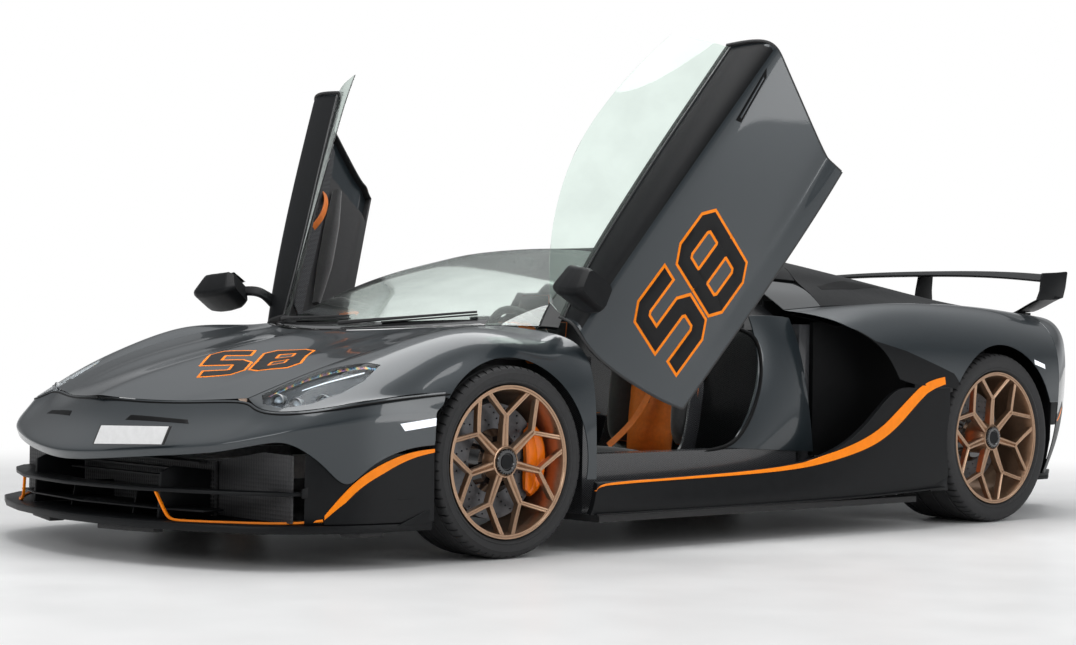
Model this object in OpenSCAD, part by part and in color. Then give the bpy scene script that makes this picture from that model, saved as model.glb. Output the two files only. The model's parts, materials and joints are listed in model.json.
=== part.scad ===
// Mid-engined sports car with upward-swinging doors, in millimetres.
// Origin: on the floor, midway along the car, on its centre plane.
// -Y is the front, +X is the driver's left-hand side, +Z is up.
// Body panels are smooth patches: each is drawn through a net of points that
// are given from the front axle line, for the reference car, and then fitted
// to the dimensions below by place().

/* [Overall size] */
// Distance between the axles
wheelbase = 2700; // [2250:10:3240]
// Nose ahead of the front axle
front_overhang = 1170; // [975:5:1404]
// Tail behind the rear axle
rear_overhang = 1073; // [895:5:1288]
// Width over the body sides
body_w = 2098; // [1750:2:2518]
// Height of the roof over the floor
body_h = 1136; // [1040:2:1363]

/* [Wheels] */
// Outside radius of a front tyre
front_tyre_r = 330.5; // [300:0.5:345]
// Width of a front tyre
front_tyre_w = 255; // [215:1:285]
// Radius of the front rim's flange
front_rim_r = 268; // [245:1:285]
// Outside radius of a rear tyre
rear_tyre_r = 355.5; // [320:0.5:370]
// Width of a rear tyre
rear_tyre_w = 355; // [295:1:375]
// Radius of the rear rim's flange
rear_rim_r = 282; // [255:1:300]
// Body side to the outer face of a front tyre
front_tyre_inset = 61.5; // [50:0.5:90]
// Body side to the outer face of a rear tyre
rear_tyre_inset = 31.5; // [25:0.5:60]
// Space between a tyre and the edge of its arch
arch_gap = 27; // [20:1:45]
// Number of forked arms in a wheel
arms = 7; // [5:1:9]
// Radius of a front brake disc
front_disc_r = 200; // [165:1:205]
// Radius of a rear brake disc
rear_disc_r = 190; // [160:1:205]
// Thickness of a brake disc
disc_t = 34; // [28:1:40]
// Room between a caliper and its disc or rim
caliper_gap = 6; // [5:0.5:8]

/* [Panels] */
// Thickness of a fixed body panel
skin_t = 14; // [10:1:17]
// Thickness of a door
door_t = 46; // [38:1:52]
// Thickness of the window glass
glass_t = 6; // [5:0.5:7]
// Joint between two fixed panels
seam = 0.45; // [0.4:0.01:0.48]
// Room round a lid or a door
lid_gap = 7; // [6:0.5:8]
// Angle of an open door, as it stands
door_open = 62.2; // [50:0.1:65]
// Radius of a door's hinge pin
hinge_r = 12; // [10:1:14]
// Play of a pin in its eye
pin_play = 0.3; // [0.25:0.05:0.4]

/* [Hidden] */
$fn = 48;

// Axle lines, wheel centres and the reference car's size
front_axle_y = front_overhang - (front_overhang + wheelbase + rear_overhang) / 2;
rear_axle_y = front_axle_y + wheelbase;
front_wheel_x = body_w / 2 - front_tyre_inset - front_tyre_w / 2;
rear_wheel_x = body_w / 2 - rear_tyre_inset - rear_tyre_w / 2;
front_arch_r = front_tyre_r + arch_gap;
rear_arch_r = rear_tyre_r + arch_gap + 10;
steer_room = 36;
rim_t = 14;
spindle_r = 22;
ref_wheelbase = 2700;
ref_front = 1170;
ref_rear = 1073;
ref_w = 2098;
ref_h = 1136;
// Levels and stations that stay put while the car grows between them
waist_z = 700;
nose_y = -420;
cabin_front_y = 460;
cabin_rear_y = 1900;
tail_y = 3120;
spine_z = 450;
spine_front_y = -500;
spine_rear_y = 2900;

// ---- fitting the net of points to the car's size ----
function sx(x) = x * body_w / ref_w;
function sy(y) =
    y < nose_y ? nose_y + (y - nose_y) * (front_overhang + nose_y) / (ref_front + nose_y)
  : y < cabin_front_y ? y
  : y < cabin_rear_y ? y + (wheelbase - ref_wheelbase) * (y - cabin_front_y) / (cabin_rear_y - cabin_front_y)
  : y < tail_y ? y + wheelbase - ref_wheelbase
  : wheelbase + (tail_y - ref_wheelbase)
      + (y - tail_y) * (rear_overhang - tail_y + ref_wheelbase) / (ref_rear - tail_y + ref_wheelbase);
function sz(z) = z < waist_z ? z : waist_z + (z - waist_z) * (body_h - waist_z) / (ref_h - waist_z);
function place(p) = [sx(p.x), sy(p.y) + front_axle_y, sz(p.z)];
function placed(g) = [for (r = g) [for (p = r) place(p)]];

// ---- smooth curves and patches ----
function unit(v) = v / norm(v);
function ctrl(p, i) = i < 0 ? 2 * p[0] - p[1]
                    : i >= len(p) ? 2 * p[len(p) - 1] - p[len(p) - 2] : p[i];
function on_curve(p, t) = let(i = min(floor(t), len(p) - 2), f = t - i)
    (pow(1 - f, 3) * ctrl(p, i - 1) + (3 * pow(f, 3) - 6 * f * f + 4) * ctrl(p, i)
     + (3 * f * f - 3 * pow(f, 3) + 3 * f + 1) * ctrl(p, i + 1) + pow(f, 3) * ctrl(p, i + 2)) / 6;
function curve(p, n) = [for (k = [0 : n * (len(p) - 1)]) on_curve(p, k / n)];
function turned(g) = [for (j = [0 : len(g[0]) - 1]) [for (i = [0 : len(g) - 1]) g[i][j]]];
function patch(g, n) = turned([for (c = turned([for (r = g) curve(r, n)])) curve(c, n)]);
// A half net, centre to side, made whole
function whole(g) = [for (r = g)
    concat([for (i = [len(r) - 1 : -1 : 1]) [-r[i].x, r[i].y, r[i].z]], r)];
// Borders of a patch pulled in by a gap
function pull_rows(g, a, b) = let(n = len(g) - 1)
    [for (i = [0 : n]) [for (j = [0 : len(g[0]) - 1])
        i == 0 && a > 0 ? g[0][j] + a * unit(g[1][j] - g[0][j])
      : i == n && b > 0 ? g[n][j] + b * unit(g[n - 1][j] - g[n][j]) : g[i][j]]];
function pull(g, first, last, left, right) =
    turned(pull_rows(turned(pull_rows(g, first, last)), left, right));
function inward(p) =
    let(y0 = sy(spine_front_y) + front_axle_y, y1 = sy(spine_rear_y) + front_axle_y)
    unit([0, max(y0, min(y1, p.y)), spine_z] - p);
// A patch made solid: t thick towards the car's middle, after a skin of depth d
module sheet(g, t, d = 0) {
    r = len(g);
    c = len(g[0]);
    outer = [for (row = g) each [for (p = row) p + d * inward(p)]];
    inner = [for (row = g) each [for (p = row) p + (d + t) * inward(p)]];
    n = r * c;
    faces = concat(
        [for (i = [0 : r - 2]) each [for (j = [0 : c - 2]) each
            [[i * c + j, i * c + j + 1, (i + 1) * c + j],
             [i * c + j + 1, (i + 1) * c + j + 1, (i + 1) * c + j]]]],
        [for (i = [0 : r - 2]) each [for (j = [0 : c - 2]) each
            [[n + i * c + j, n + (i + 1) * c + j, n + i * c + j + 1],
             [n + i * c + j + 1, n + (i + 1) * c + j, n + (i + 1) * c + j + 1]]]],
        [for (j = [0 : c - 2]) each
            [[j, n + j, j + 1], [j + 1, n + j, n + j + 1],
             [(r - 1) * c + j, (r - 1) * c + j + 1, n + (r - 1) * c + j],
             [(r - 1) * c + j + 1, n + (r - 1) * c + j + 1, n + (r - 1) * c + j]]],
        [for (i = [0 : r - 2]) each
            [[i * c, (i + 1) * c, n + i * c], [n + i * c, (i + 1) * c, n + (i + 1) * c],
             [i * c + c - 1, n + i * c + c - 1, (i + 1) * c + c - 1],
             [n + i * c + c - 1, n + (i + 1) * c + c - 1, (i + 1) * c + c - 1]]]);
    polyhedron(concat(outer, inner), faces, convexity = 6);
}
// Draws its children on one side (+1 left, -1 right)
module side(s) {
    if (s > 0) children();
    else mirror([1, 0, 0]) children();
}
module both() {
    children();
    mirror([1, 0, 0]) children();
}
// A box between two corners of the reference car
module block(a, b) {
    p = place(a);
    q = place(b);
    translate([min(p.x, q.x), min(p.y, q.y), min(p.z, q.z)])
        cube([abs(q.x - p.x), abs(q.y - p.y), abs(q.z - p.z)]);
}
// A round bar between two points
module bar(p, q, r) {
    v = q - p;
    translate(p) rotate([0, acos(v.z / norm(v)), atan2(v.y, v.x)]) cylinder(r = r, h = norm(v));
}
// Space of the wheels and their arches, to cut from panels
module arch_cut(x_in, r_edge, y, z) {
    translate([x_in, y, z]) rotate([0, 90, 0]) cylinder(r = r_edge, h = body_w, $fn = 96);
}
module front_arch() {
    arch_cut(body_w / 2 - 170, front_arch_r, front_axle_y, front_tyre_r);
}
module front_house() {
    arch_cut(body_w / 2 - 520, front_arch_r + steer_room, front_axle_y, front_tyre_r);
}
module rear_arch() {
    arch_cut(body_w / 2 - 520, rear_arch_r, rear_axle_y, rear_tyre_r);
}

// ---- nets of the body panels: each row or column is named by what it follows ----
hood_net = [
    [[0, -1020, 540], [60, -1015, 535], [200, -985, 530], [330, -945, 529], [400, -915, 531],
     [480, -885, 536], [622, -834, 545]],
    [[0, -850, 606], [60, -846, 603], [220, -822, 590], [350, -785, 591], [435, -755, 601],
     [510, -730, 600], [655, -690, 605]],
    [[0, -650, 663], [60, -646, 659], [230, -616, 648], [370, -574, 654], [455, -548, 671],
     [535, -528, 668], [690, -480, 682]],
    [[0, -450, 710], [60, -444, 706], [235, -398, 696], [375, -338, 706], [465, -300, 728],
     [550, -275, 725], [705, -220, 748]],
    [[0, -280, 747], [60, -270, 744], [235, -208, 738], [370, -148, 748], [460, -108, 766],
     [545, -70, 766], [690, 0, 783]],
    [[0, -120, 771], [60, -110, 771], [230, -70, 774], [360, -18, 780], [450, 30, 787],
     [530, 66, 790], [660, 125, 797]]];
front_fender_net = [
    [[622, -834, 545], [680, -850, 523], [740, -850, 508], [800, -825, 506],
     [850, -780, 511], [890, -730, 520], [925, -670, 532], [952, -605, 545]],
    [[655, -690, 605], [715, -680, 612], [775, -660, 613], [830, -630, 610],
     [880, -590, 603], [922, -545, 593], [955, -495, 580], [978, -450, 563]],
    [[690, -480, 682], [750, -455, 697], [810, -430, 702], [865, -400, 697],
     [910, -370, 680], [950, -340, 652], [977, -315, 617], [991, -300, 577]],
    [[705, -220, 748], [768, -190, 776], [835, -155, 792], [895, -120, 782],
     [945, -95, 745], [978, -80, 680], [992, -80, 570], [995, -80, 440]],
    [[690, 0, 783], [765, 20, 795], [838, 45, 790], [900, 70, 765],
     [950, 95, 715], [982, 115, 620], [992, 125, 480], [993, 130, 340]],
    [[660, 125, 797], [748, 175, 790], [825, 215, 770], [888, 245, 740],
     [940, 262, 690], [975, 280, 590], [988, 290, 430], [989, 295, 256]],
    [[700, 185, 797], [795, 280, 785], [870, 335, 765], [925, 365, 735],
     [962, 385, 680], [982, 397, 570], [987, 400, 410], [986, 402, 256]]];
lamp_plan = [[665, -812], [745, -824], [812, -792], [860, -738], [890, -680],
             [905, -600], [886, -505], [800, -625]];
// Nose to arch, from the lid's seam down to the lip
bumper_net = [
    [[0, -1020, 540], [200, -985, 530], [400, -915, 531], [622, -834, 545], [680, -850, 523],
     [740, -850, 508], [800, -825, 506], [850, -780, 511], [890, -730, 520], [925, -670, 532],
     [952, -605, 545], [978, -450, 560], [990, -292, 547]],
    [[0, -1040, 496], [202, -1008, 492], [407, -945, 490], [622, -872, 492], [690, -875, 482],
     [752, -868, 482], [812, -836, 484], [864, -790, 492], [905, -737, 503], [936, -674, 515],
     [960, -605, 527], [983, -455, 540], [994, -300, 536]],
    [[0, -1072, 440], [204, -1044, 440], [412, -992, 444], [628, -922, 450], [704, -912, 452],
     [768, -888, 455], [828, -845, 462], [876, -796, 475], [915, -738, 487], [944, -673, 499],
     [966, -604, 510], [987, -457, 522], [998, -320, 522]],
    [[0, -1170, 356], [205, -1139, 366], [415, -1082, 382], [636, -993, 400], [716, -952, 413],
     [786, -904, 428], [843, -851, 444], [888, -798, 461], [924, -738, 471], [951, -670, 483],
     [971, -602, 493], [991, -457, 503], [1002, -342, 509]],
    [[0, -1168, 346], [205, -1137, 356], [415, -1080, 372], [636, -991, 390], [716, -950, 403],
     [786, -902, 418], [843, -849, 434], [888, -796, 450], [924, -736, 455], [951, -668, 460],
     [971, -600, 474], [991, -455, 488], [1002, -343, 496]],
    [[0, -1156, 318], [205, -1126, 333], [415, -1070, 350], [635, -983, 367], [713, -943, 384],
     [783, -897, 400], [839, -846, 414], [884, -794, 384], [921, -734, 332], [948, -667, 245],
     [969, -600, 335], [990, -455, 390], [1001, -345, 396]]];
door_net = [
    [[986, 449, 271], [986, 440, 305], [986, 432, 340], [986, 424, 385], [986, 412, 480],
     [985, 405, 590], [980, 412, 720], [948, 455, 790], [905, 452, 797], [850, 450, 800]],
    [[987, 640, 275], [987, 640, 312], [986, 640, 350], [987, 640, 395], [986, 640, 500],
     [985, 638, 610], [980, 634, 745], [960, 632, 802], [890, 630, 820], [815, 630, 830]],
    [[987, 880, 280], [984, 880, 318], [981, 880, 355], [984, 880, 400], [984, 880, 505],
     [984, 880, 620], [981, 880, 755], [968, 880, 812], [885, 880, 836], [800, 880, 845]],
    [[986, 1120, 288], [980, 1120, 327], [972, 1120, 362], [979, 1120, 405], [980, 1120, 510],
     [981, 1120, 628], [980, 1120, 762], [970, 1120, 820], [882, 1120, 846], [792, 1120, 858]],
    [[984, 1340, 300], [974, 1345, 340], [961, 1350, 375], [970, 1356, 408], [973, 1368, 512],
     [975, 1385, 630], [975, 1400, 766], [968, 1408, 826], [880, 1395, 854], [785, 1380, 866]],
    [[978, 1484, 311], [970, 1487, 352], [954, 1492, 385], [964, 1497, 412], [966, 1540, 515],
     [967, 1590, 630], [967, 1650, 770], [965, 1680, 828], [880, 1645, 858], [778, 1601, 872]]];
door_glass_net = [
    [[850, 450, 800], [818, 460, 828], [785, 470, 855]],
    [[815, 630, 830], [752, 645, 902], [684, 650, 960]],
    [[800, 880, 845], [705, 885, 955], [598, 890, 1034]],
    [[792, 1120, 858], [690, 1120, 972], [566, 1110, 1056]],
    [[785, 1380, 866], [686, 1370, 966], [570, 1350, 1042]],
    [[778, 1601, 872], [690, 1570, 950], [581, 1539, 1006]]];
screen_net = [
    [[0, -85, 775], [260, -35, 781], [480, 60, 791], [650, 165, 799], [790, 295, 795]],
    [[0, 170, 866], [240, 200, 868], [440, 265, 872], [590, 330, 875], [715, 400, 873]],
    [[0, 450, 958], [215, 470, 958], [390, 500, 958], [530, 525, 957], [640, 545, 953]],
    [[0, 720, 1044], [190, 730, 1042], [345, 735, 1038], [465, 730, 1031], [565, 712, 1020]],
    [[0, 965, 1112], [165, 960, 1108], [300, 950, 1101], [410, 930, 1090], [500, 900, 1071]]];
pillar_net = [
    [[790, 295, 795], [815, 318, 795], [838, 345, 790]],
    [[715, 400, 873], [745, 418, 870], [772, 440, 862]],
    [[640, 545, 953], [675, 560, 952], [702, 580, 942]],
    [[565, 712, 1020], [605, 725, 1020], [628, 740, 1006]],
    [[500, 900, 1071], [535, 905, 1066], [556, 912, 1050]]];
roof_net = [
    [[0, 965, 1112], [165, 960, 1108], [300, 950, 1101], [410, 930, 1090],
     [500, 900, 1071], [535, 905, 1066], [556, 912, 1050]],
    [[0, 1130, 1117], [165, 1130, 1119], [300, 1125, 1122], [410, 1120, 1114],
     [490, 1110, 1094], [528, 1108, 1078], [548, 1105, 1060]],
    [[0, 1400, 1117], [165, 1400, 1124], [300, 1400, 1140], [410, 1400, 1136],
     [492, 1400, 1100], [530, 1398, 1074], [552, 1395, 1046]],
    [[0, 1650, 1107], [165, 1650, 1118], [300, 1650, 1131], [410, 1650, 1125],
     [500, 1650, 1088], [545, 1645, 1050], [572, 1640, 1012]],
    [[0, 1900, 1085], [165, 1900, 1098], [300, 1900, 1108], [410, 1900, 1098],
     [510, 1893, 1068], [560, 1886, 1034], [592, 1880, 1000]]];
quarter_net = [
    [[581, 1547, 1003], [690, 1578, 947], [772, 1612, 876]],
    [[588, 1700, 998], [688, 1715, 950], [760, 1730, 884]],
    [[592, 1880, 992], [675, 1880, 950], [735, 1880, 895]]];
buttress_net = [
    [[410, 1900, 1098], [510, 1893, 1068], [560, 1886, 1034], [592, 1880, 1000],
     [675, 1880, 950], [735, 1880, 895]],
    [[400, 2130, 1072], [500, 2125, 1050], [555, 2125, 1018], [590, 2125, 985],
     [650, 2128, 945], [705, 2130, 905]],
    [[395, 2430, 1030], [490, 2430, 1015], [545, 2430, 985], [580, 2430, 955],
     [630, 2430, 930], [675, 2430, 912]],
    [[390, 2720, 985], [480, 2720, 975], [535, 2720, 955], [575, 2720, 938],
     [618, 2720, 923], [655, 2720, 915]],
    [[385, 2980, 940], [470, 2980, 938], [530, 2980, 930], [575, 2980, 922],
     [615, 2980, 916], [650, 2980, 912]],
    [[385, 3230, 905], [470, 3230, 905], [530, 3230, 903], [580, 3230, 900],
     [622, 3230, 898], [660, 3230, 895]]];
cover_net = [
    [[0, 1950, 1077], [150, 1950, 1085], [280, 1950, 1095], [392, 1950, 1091]],
    [[0, 2200, 1045], [150, 2200, 1052], [280, 2200, 1060], [385, 2200, 1062]],
    [[0, 2500, 1000], [150, 2500, 1005], [280, 2500, 1012], [382, 2500, 1019]],
    [[0, 2800, 955], [150, 2800, 958], [280, 2800, 964], [378, 2800, 972]],
    [[0, 3050, 915], [150, 3050, 917], [280, 3050, 922], [375, 3050, 929]]];
rear_fender_net = [
    [[772, 1612, 876], [850, 1645, 866], [920, 1678, 850], [972, 1705, 832],
     [1012, 1790, 795], [1038, 1890, 742], [1045, 1955, 675], [1045, 2005, 605]],
    [[735, 1880, 895], [830, 1880, 898], [905, 1890, 893], [962, 1910, 870],
     [1005, 1955, 822], [1035, 2010, 755], [1047, 2070, 670], [1047, 2140, 572]],
    [[705, 2130, 905], [795, 2140, 915], [880, 2150, 917], [945, 2165, 900],
     [995, 2195, 850], [1030, 2235, 775], [1048, 2280, 680], [1049, 2330, 580]],
    [[675, 2430, 912], [765, 2430, 920], [855, 2435, 920], [930, 2440, 900],
     [988, 2455, 850], [1028, 2480, 770], [1048, 2510, 660], [1049, 2540, 520]],
    [[655, 2720, 915], [745, 2720, 918], [835, 2720, 914], [915, 2720, 892],
     [978, 2720, 840], [1020, 2725, 760], [1044, 2735, 650], [1047, 2745, 500]],
    [[650, 2980, 912], [735, 2980, 910], [820, 2980, 898], [898, 2975, 872],
     [960, 2970, 820], [1003, 2965, 745], [1030, 2960, 640], [1036, 2960, 500]],
    [[660, 3230, 895], [738, 3225, 888], [812, 3215, 872], [880, 3200, 842],
     [935, 3185, 795], [975, 3170, 735], [1000, 3155, 640], [1008, 3140, 500]]];
rear_corner_net = [
    [[660, 3230, 895], [738, 3225, 888], [812, 3215, 872], [880, 3200, 842],
     [935, 3185, 795], [975, 3170, 735], [1000, 3155, 640], [1008, 3140, 500],
     [1000, 3125, 340], [968, 3085, 190]],
    [[660, 3340, 888], [732, 3335, 882], [798, 3318, 865], [860, 3298, 838],
     [910, 3278, 792], [946, 3258, 735], [966, 3238, 640], [972, 3218, 500],
     [962, 3200, 340], [930, 3160, 188]],
    [[650, 3450, 880], [715, 3440, 873], [770, 3425, 855], [820, 3402, 825],
     [862, 3376, 785], [892, 3350, 735], [902, 3345, 640], [897, 3340, 495],
     [880, 3330, 340], [860, 3260, 188]]];
// Sill panel: from the front arch to the rear arch, top edge down to the floor
skirt_net = [
    [[986, 403, 246], [1005, 640, 250], [1008, 904, 256], [1012, 1250, 266], [1024, 1500, 290],
     [1036, 1690, 352], [1044, 1835, 450], [1046, 1990, 595], [1048, 2150, 561],
     [1048, 2330, 569]],
    [[1002, 380, 205], [1022, 640, 208], [1026, 904, 212], [1028, 1250, 216], [1034, 1500, 226],
     [1042, 1700, 270], [1047, 1850, 340], [1049, 2000, 440], [1049, 2150, 420],
     [1048, 2330, 430]],
    [[1008, 365, 165], [1034, 640, 168], [1038, 904, 170], [1040, 1250, 172], [1043, 1500, 178],
     [1046, 1710, 200], [1048, 1860, 240], [1049, 2010, 270], [1049, 2150, 270],
     [1048, 2330, 290]],
    [[1000, 355, 132], [1030, 640, 134], [1036, 904, 135], [1038, 1250, 136], [1040, 1500, 138],
     [1042, 1710, 141], [1044, 1865, 145], [1043, 2015, 149], [1042, 2150, 152],
     [1035, 2330, 153]]];

// ---- the doors' hinge ----
hinge_at = place([850, 378, 721]);
hinge_axis = [1, 0.025, -0.413];
module door_swing(s) {
    side(s) translate(hinge_at) rotate(a = door_open, v = hinge_axis) translate(-hinge_at) children();
}
module along_hinge(from, to, r) {
    bar(hinge_at + from * unit(hinge_axis), hinge_at + to * unit(hinge_axis), r);
}

// ---- fixed body ----
roof_t = skin_t + 10;
bulkhead_y = 1740;
// A post on the bulkhead whose top meets the roof's underside at its outer rear corner
module roof_post() {
    g = patch(placed(whole(roof_net)), 2);
    f = (bulkhead_y - 1650) / 125;
    p = (1 - f) * g[6][18] + f * g[7][18];
    top = p + (roof_t + seam) * inward(p);
    base = place([0, bulkhead_y - 40, 819]);
    translate([top.x - 40, base.y, base.z]) cube([40, top.y - base.y, top.z - base.z]);
}
floor_z = 128;
floor_t = 40;
module tub() {
    color("#2b2d30") {
        block([-890, 420, floor_z], [890, bulkhead_y, floor_z + floor_t]);
        both() block([800, 440, floor_z + floor_t], [890, 1560, 340]);
        block([-550, 0, floor_z], [550, 420, floor_z + floor_t]);
        block([-550, -40, floor_z], [550, 0, 700]);
        block([-830, 1700, floor_z + floor_t], [830, bulkhead_y, 820]);
        both() {
            roof_post();
            lid_pin(hood_hinge, 525, 566, 0);
            block([521, 34, 689], [537, 54, 768]);
            lid_pin(cover_hinge, 340, 385, 0);
            block([370, 1739, 1044], [385, 1923, 1068]);
        }
        both() {
            block([520, -1, floor_z + floor_t], [550, 430, 690]);
            block([520, 419, floor_z + floor_t], [890, 455, 690]);
            block([700, 1640, floor_z + floor_t], [830, 1701, 820]);
            along_hinge(-104, 34, hinge_r);
            block([735, 362, 640], [765, 455, 758]);
        }
    }
}

module cabin_frame() {
    color("#1c1d1f") {
        sheet(pull(patch(placed(whole(roof_net)), 2), 0, seam, 0, 0), roof_t);
        both() sheet(pull(patch(placed(pillar_net), 2), 0, seam, seam, 0), roof_t);
    }
}
module windscreen() {
    color("#5d6a6c", 0.5)
        sheet(pull(patch(placed(whole(screen_net)), 2), seam, seam, seam, seam), glass_t);
}
module cabin_glass() {
    color("#5d6a6c", 0.5)
        both() sheet(pull(patch(placed(quarter_net), 2), lid_gap, seam, seam, 3), glass_t);
}

// ---- hinges of the lids: a pin on the body, an eye on the lid ----
lid_pin_r = 6;
lid_eye_r = 12;
hood_hinge = [0, 44, 764];
// Room behind the lid, for its swing
cowl_gap = 9;
cover_hinge = [0, 1915, 1056];
module lid_pin(at, x0, x1, play) {
    p = place([x0, at.y, at.z]);
    translate(p) rotate([0, 90, 0]) cylinder(r = lid_pin_r + play, h = sx(x1) - sx(x0));
}
module lid_eye(at, x0, x1) {
    p = place([x0, at.y, at.z]);
    translate(p) rotate([0, 90, 0]) cylinder(r = lid_eye_r, h = 16);
}

// ---- nose ----
duct_y = -700;
module front_bumper() {
    color("#3d4650") difference() {
        sheet(pull(patch(placed(whole(bumper_net)), 2), lid_gap, seam, seam, seam), skin_t);
        both() {
            front_arch();
            front_house();
        }
    }
}
// Dark frame of the air inlets: the corner panels behind the painted points, their posts,
// the upright vanes and the blade that crosses the nose
corner_net = [
    [[913, -731, 176], [943, -672, 255], [965, -601, 318], [986, -458, 378], [998, -348, 386]],
    [[916, -733, 162], [946, -671, 205], [968, -600, 238], [988, -457, 265], [999, -347, 270]],
    [[918, -735, 146.5], [948, -670, 146.5], [970, -600, 146.5], [990, -457, 146.5],
     [1000, -347, 146.5]]];
post_plan = [[880, -788], [914, -728], [940, -665], [959, -600], [979, -457], [990, -352],
             [930, -352], [915, -520], [885, -640], [850, -730]];
blade_plan = [[0, -1150], [384, -1100], [600, -1010], [760, -925], [850, -850], [890, -765],
              [885, -700], [800, -790], [700, -880], [560, -930], [380, -985], [0, -1050]];
module front_aero() {
    color("#191a1c") difference() {
        union() {
            both() {
                sheet(patch(placed(corner_net), 2), skin_t);
                upright_plan(post_plan, 146, 380);
                upright_plan(blade_plan, 238, 250);
                block([400, -1060, 146], [424, -720, 330]);
                block([424, -820, 146], [850, -800, 372]);
            }
            block([-400, -840, 146], [400, -820, 330]);
        }
        both() front_house();
        sheet(patch(placed(whole(bumper_net)), 2), skin_t + 2 * seam, -seam);
    }
}
// An outline in plan, drawn up between two levels
module upright_plan(plan, z0, z1) {
    translate([0, 0, sz(z0)]) linear_extrude(sz(z1) - sz(z0))
        polygon([for (p = plan) [sx(p.x), sy(p.y) + front_axle_y]]);
}
splitter_plan = [[0, -1166], [200, -1150], [400, -1115], [600, -1050], [790, -955], [900, -840],
                 [960, -690], [995, -520], [1002, -352], [600, -352], [600, -40.6], [0, -40.6]];
module front_splitter() {
    color("#191a1c") difference() {
        both() {
            upright_plan(splitter_plan, 118, 146);
            block([160, -1120, 98], [400, -1050, 118.5]);
            block([870, -640, 98], [930, -500, 118.5]);
        }
        both() front_house();
    }
}
module lamp_hole(grow) {
    linear_extrude(body_h) offset(delta = grow)
        polygon([for (p = lamp_plan) [sx(p.x), sy(p.y) + front_axle_y]]);
}
// Space for the lid's rear corner, which dips as the lid is raised
lid_corner_plan = [[600, -20], [697.5, -20], [696.5, 0], [684.5, 62], [667, 121], [666, 150],
                   [600, 150]];
module front_fender(s) {
    color("#3d4650") side(s) difference() {
        sheet(pull(patch(placed(front_fender_net), 2), seam, 0, lid_gap, 0), skin_t);
        front_arch();
        front_house();
        lamp_hole(0);
        upright_plan(lid_corner_plan, 640, 900);
    }
}
module headlamps() {
    color("#9fb0bb") both() intersection() {
        sheet(pull(patch(placed(front_fender_net), 2), seam, 0, lid_gap, 0), skin_t + 10);
        lamp_hole(-seam);
    }
}
module hood() {
    color("#3d4650") {
        sheet(pull(patch(placed(whole(hood_net)), 2), 0, cowl_gap, 0, 0), skin_t);
        both() difference() {
            union() {
                lid_eye(hood_hinge, 545, 561);
                translate([sx(545), place(hood_hinge).y - 12, place(hood_hinge).z]) cube([16, 24, 17]);
            }
            lid_pin(hood_hinge, 540, 570, pin_play);
        }
    }
}

// ---- sides ----
module side_skirt(s) {
    color("#191a1c") side(s) difference() {
        sheet(pull(patch(placed(turned(skirt_net)), 1), 0, 0, seam, 0), 34);
        rear_arch();
        front_arch();
    }
}
module rear_fender(s) {
    color("#3d4650") side(s) difference() {
        sheet(pull(patch(placed(rear_fender_net), 2), lid_gap, seam, seam, seam), skin_t);
        rear_arch();
    }
}
// Dark ducts behind the doors: an inner wall and a floor, open to the front
module side_ducts() {
    color("#151617") both() difference() {
        union() {
            block([830.6, 1701.5, 300], [850, 2290, 830]);
            block([849, 1760, 300], [1000, 1900, 312]);
        }
        rear_arch();
    }
}

// ---- tail ----
module rear_bumper() {
    color("#3d4650") both() difference() {
        sheet(pull(patch(placed(rear_corner_net), 2), seam, 0, seam, 0), skin_t);
        rear_arch();
    }
}
module rear_fascia() {
    color("#151617") {
        block([-640, 3440, 560], [640, 3460, 870]);
        both() block([639, 3290, 560], [800, 3310, 820]);
        both() block([622, 3290, 560], [640, 3460, 850]);
        block([-625, 3230.1, 880], [625, 3560, 896]);
    }
}
tow_x = 250;
tow_z = 470;
tow_r = 9;
tow_l = 60;
diffuser_plan = [[0, 3120], [860, 3120], [850, 3300], [790, 3390], [690, 3530], [590, 3680],
                 [0, 3700]];
module rear_diffuser() {
    color("#191a1c") {
        both() upright_plan(diffuser_plan, 150, 170);
        both() {
            block([180, 3200, 170], [194, 3773, 379.5]);
            block([420, 3200, 170], [434, 3773, 379.5]);
            block([640, 3200, 170], [654, 3560, 379.5]);
        }
    }
}
// Closing panel over the fins, with the socket of the towing eye
module rear_valance() {
    color("#191a1c") difference() {
        block([-700, 3290, 380], [700, 3600, 560]);
        translate(place([tow_x, 3600, tow_z]) - [0, tow_l, 0]) rotate([-90, 0, 0])
            cylinder(r = tow_r, h = tow_l + 1);
    }
}
module tail_lamps() {
    color("#7a1a12") both() block([520, 3460.5, 700], [735, 3490, 800]);
}
module exhaust() {
    color("#8d9094") both() difference() {
        translate(place([90, 3460.5, 640])) rotate([-90, 0, 0]) cylinder(r = 62, h = 130);
        translate(place([90, 3480, 640])) rotate([-90, 0, 0]) cylinder(r = 54, h = 140);
    }
}
module engine_block() {
    color("#5b5e62") block([-389.5, 1790, 220], [389.5, 2960, 800]);
}
module rear_deck() {
    color("#191a1c") both()
        sheet(pull(patch(placed(buttress_net), 2), seam, 0, lid_gap, seam), skin_t);
}
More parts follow.
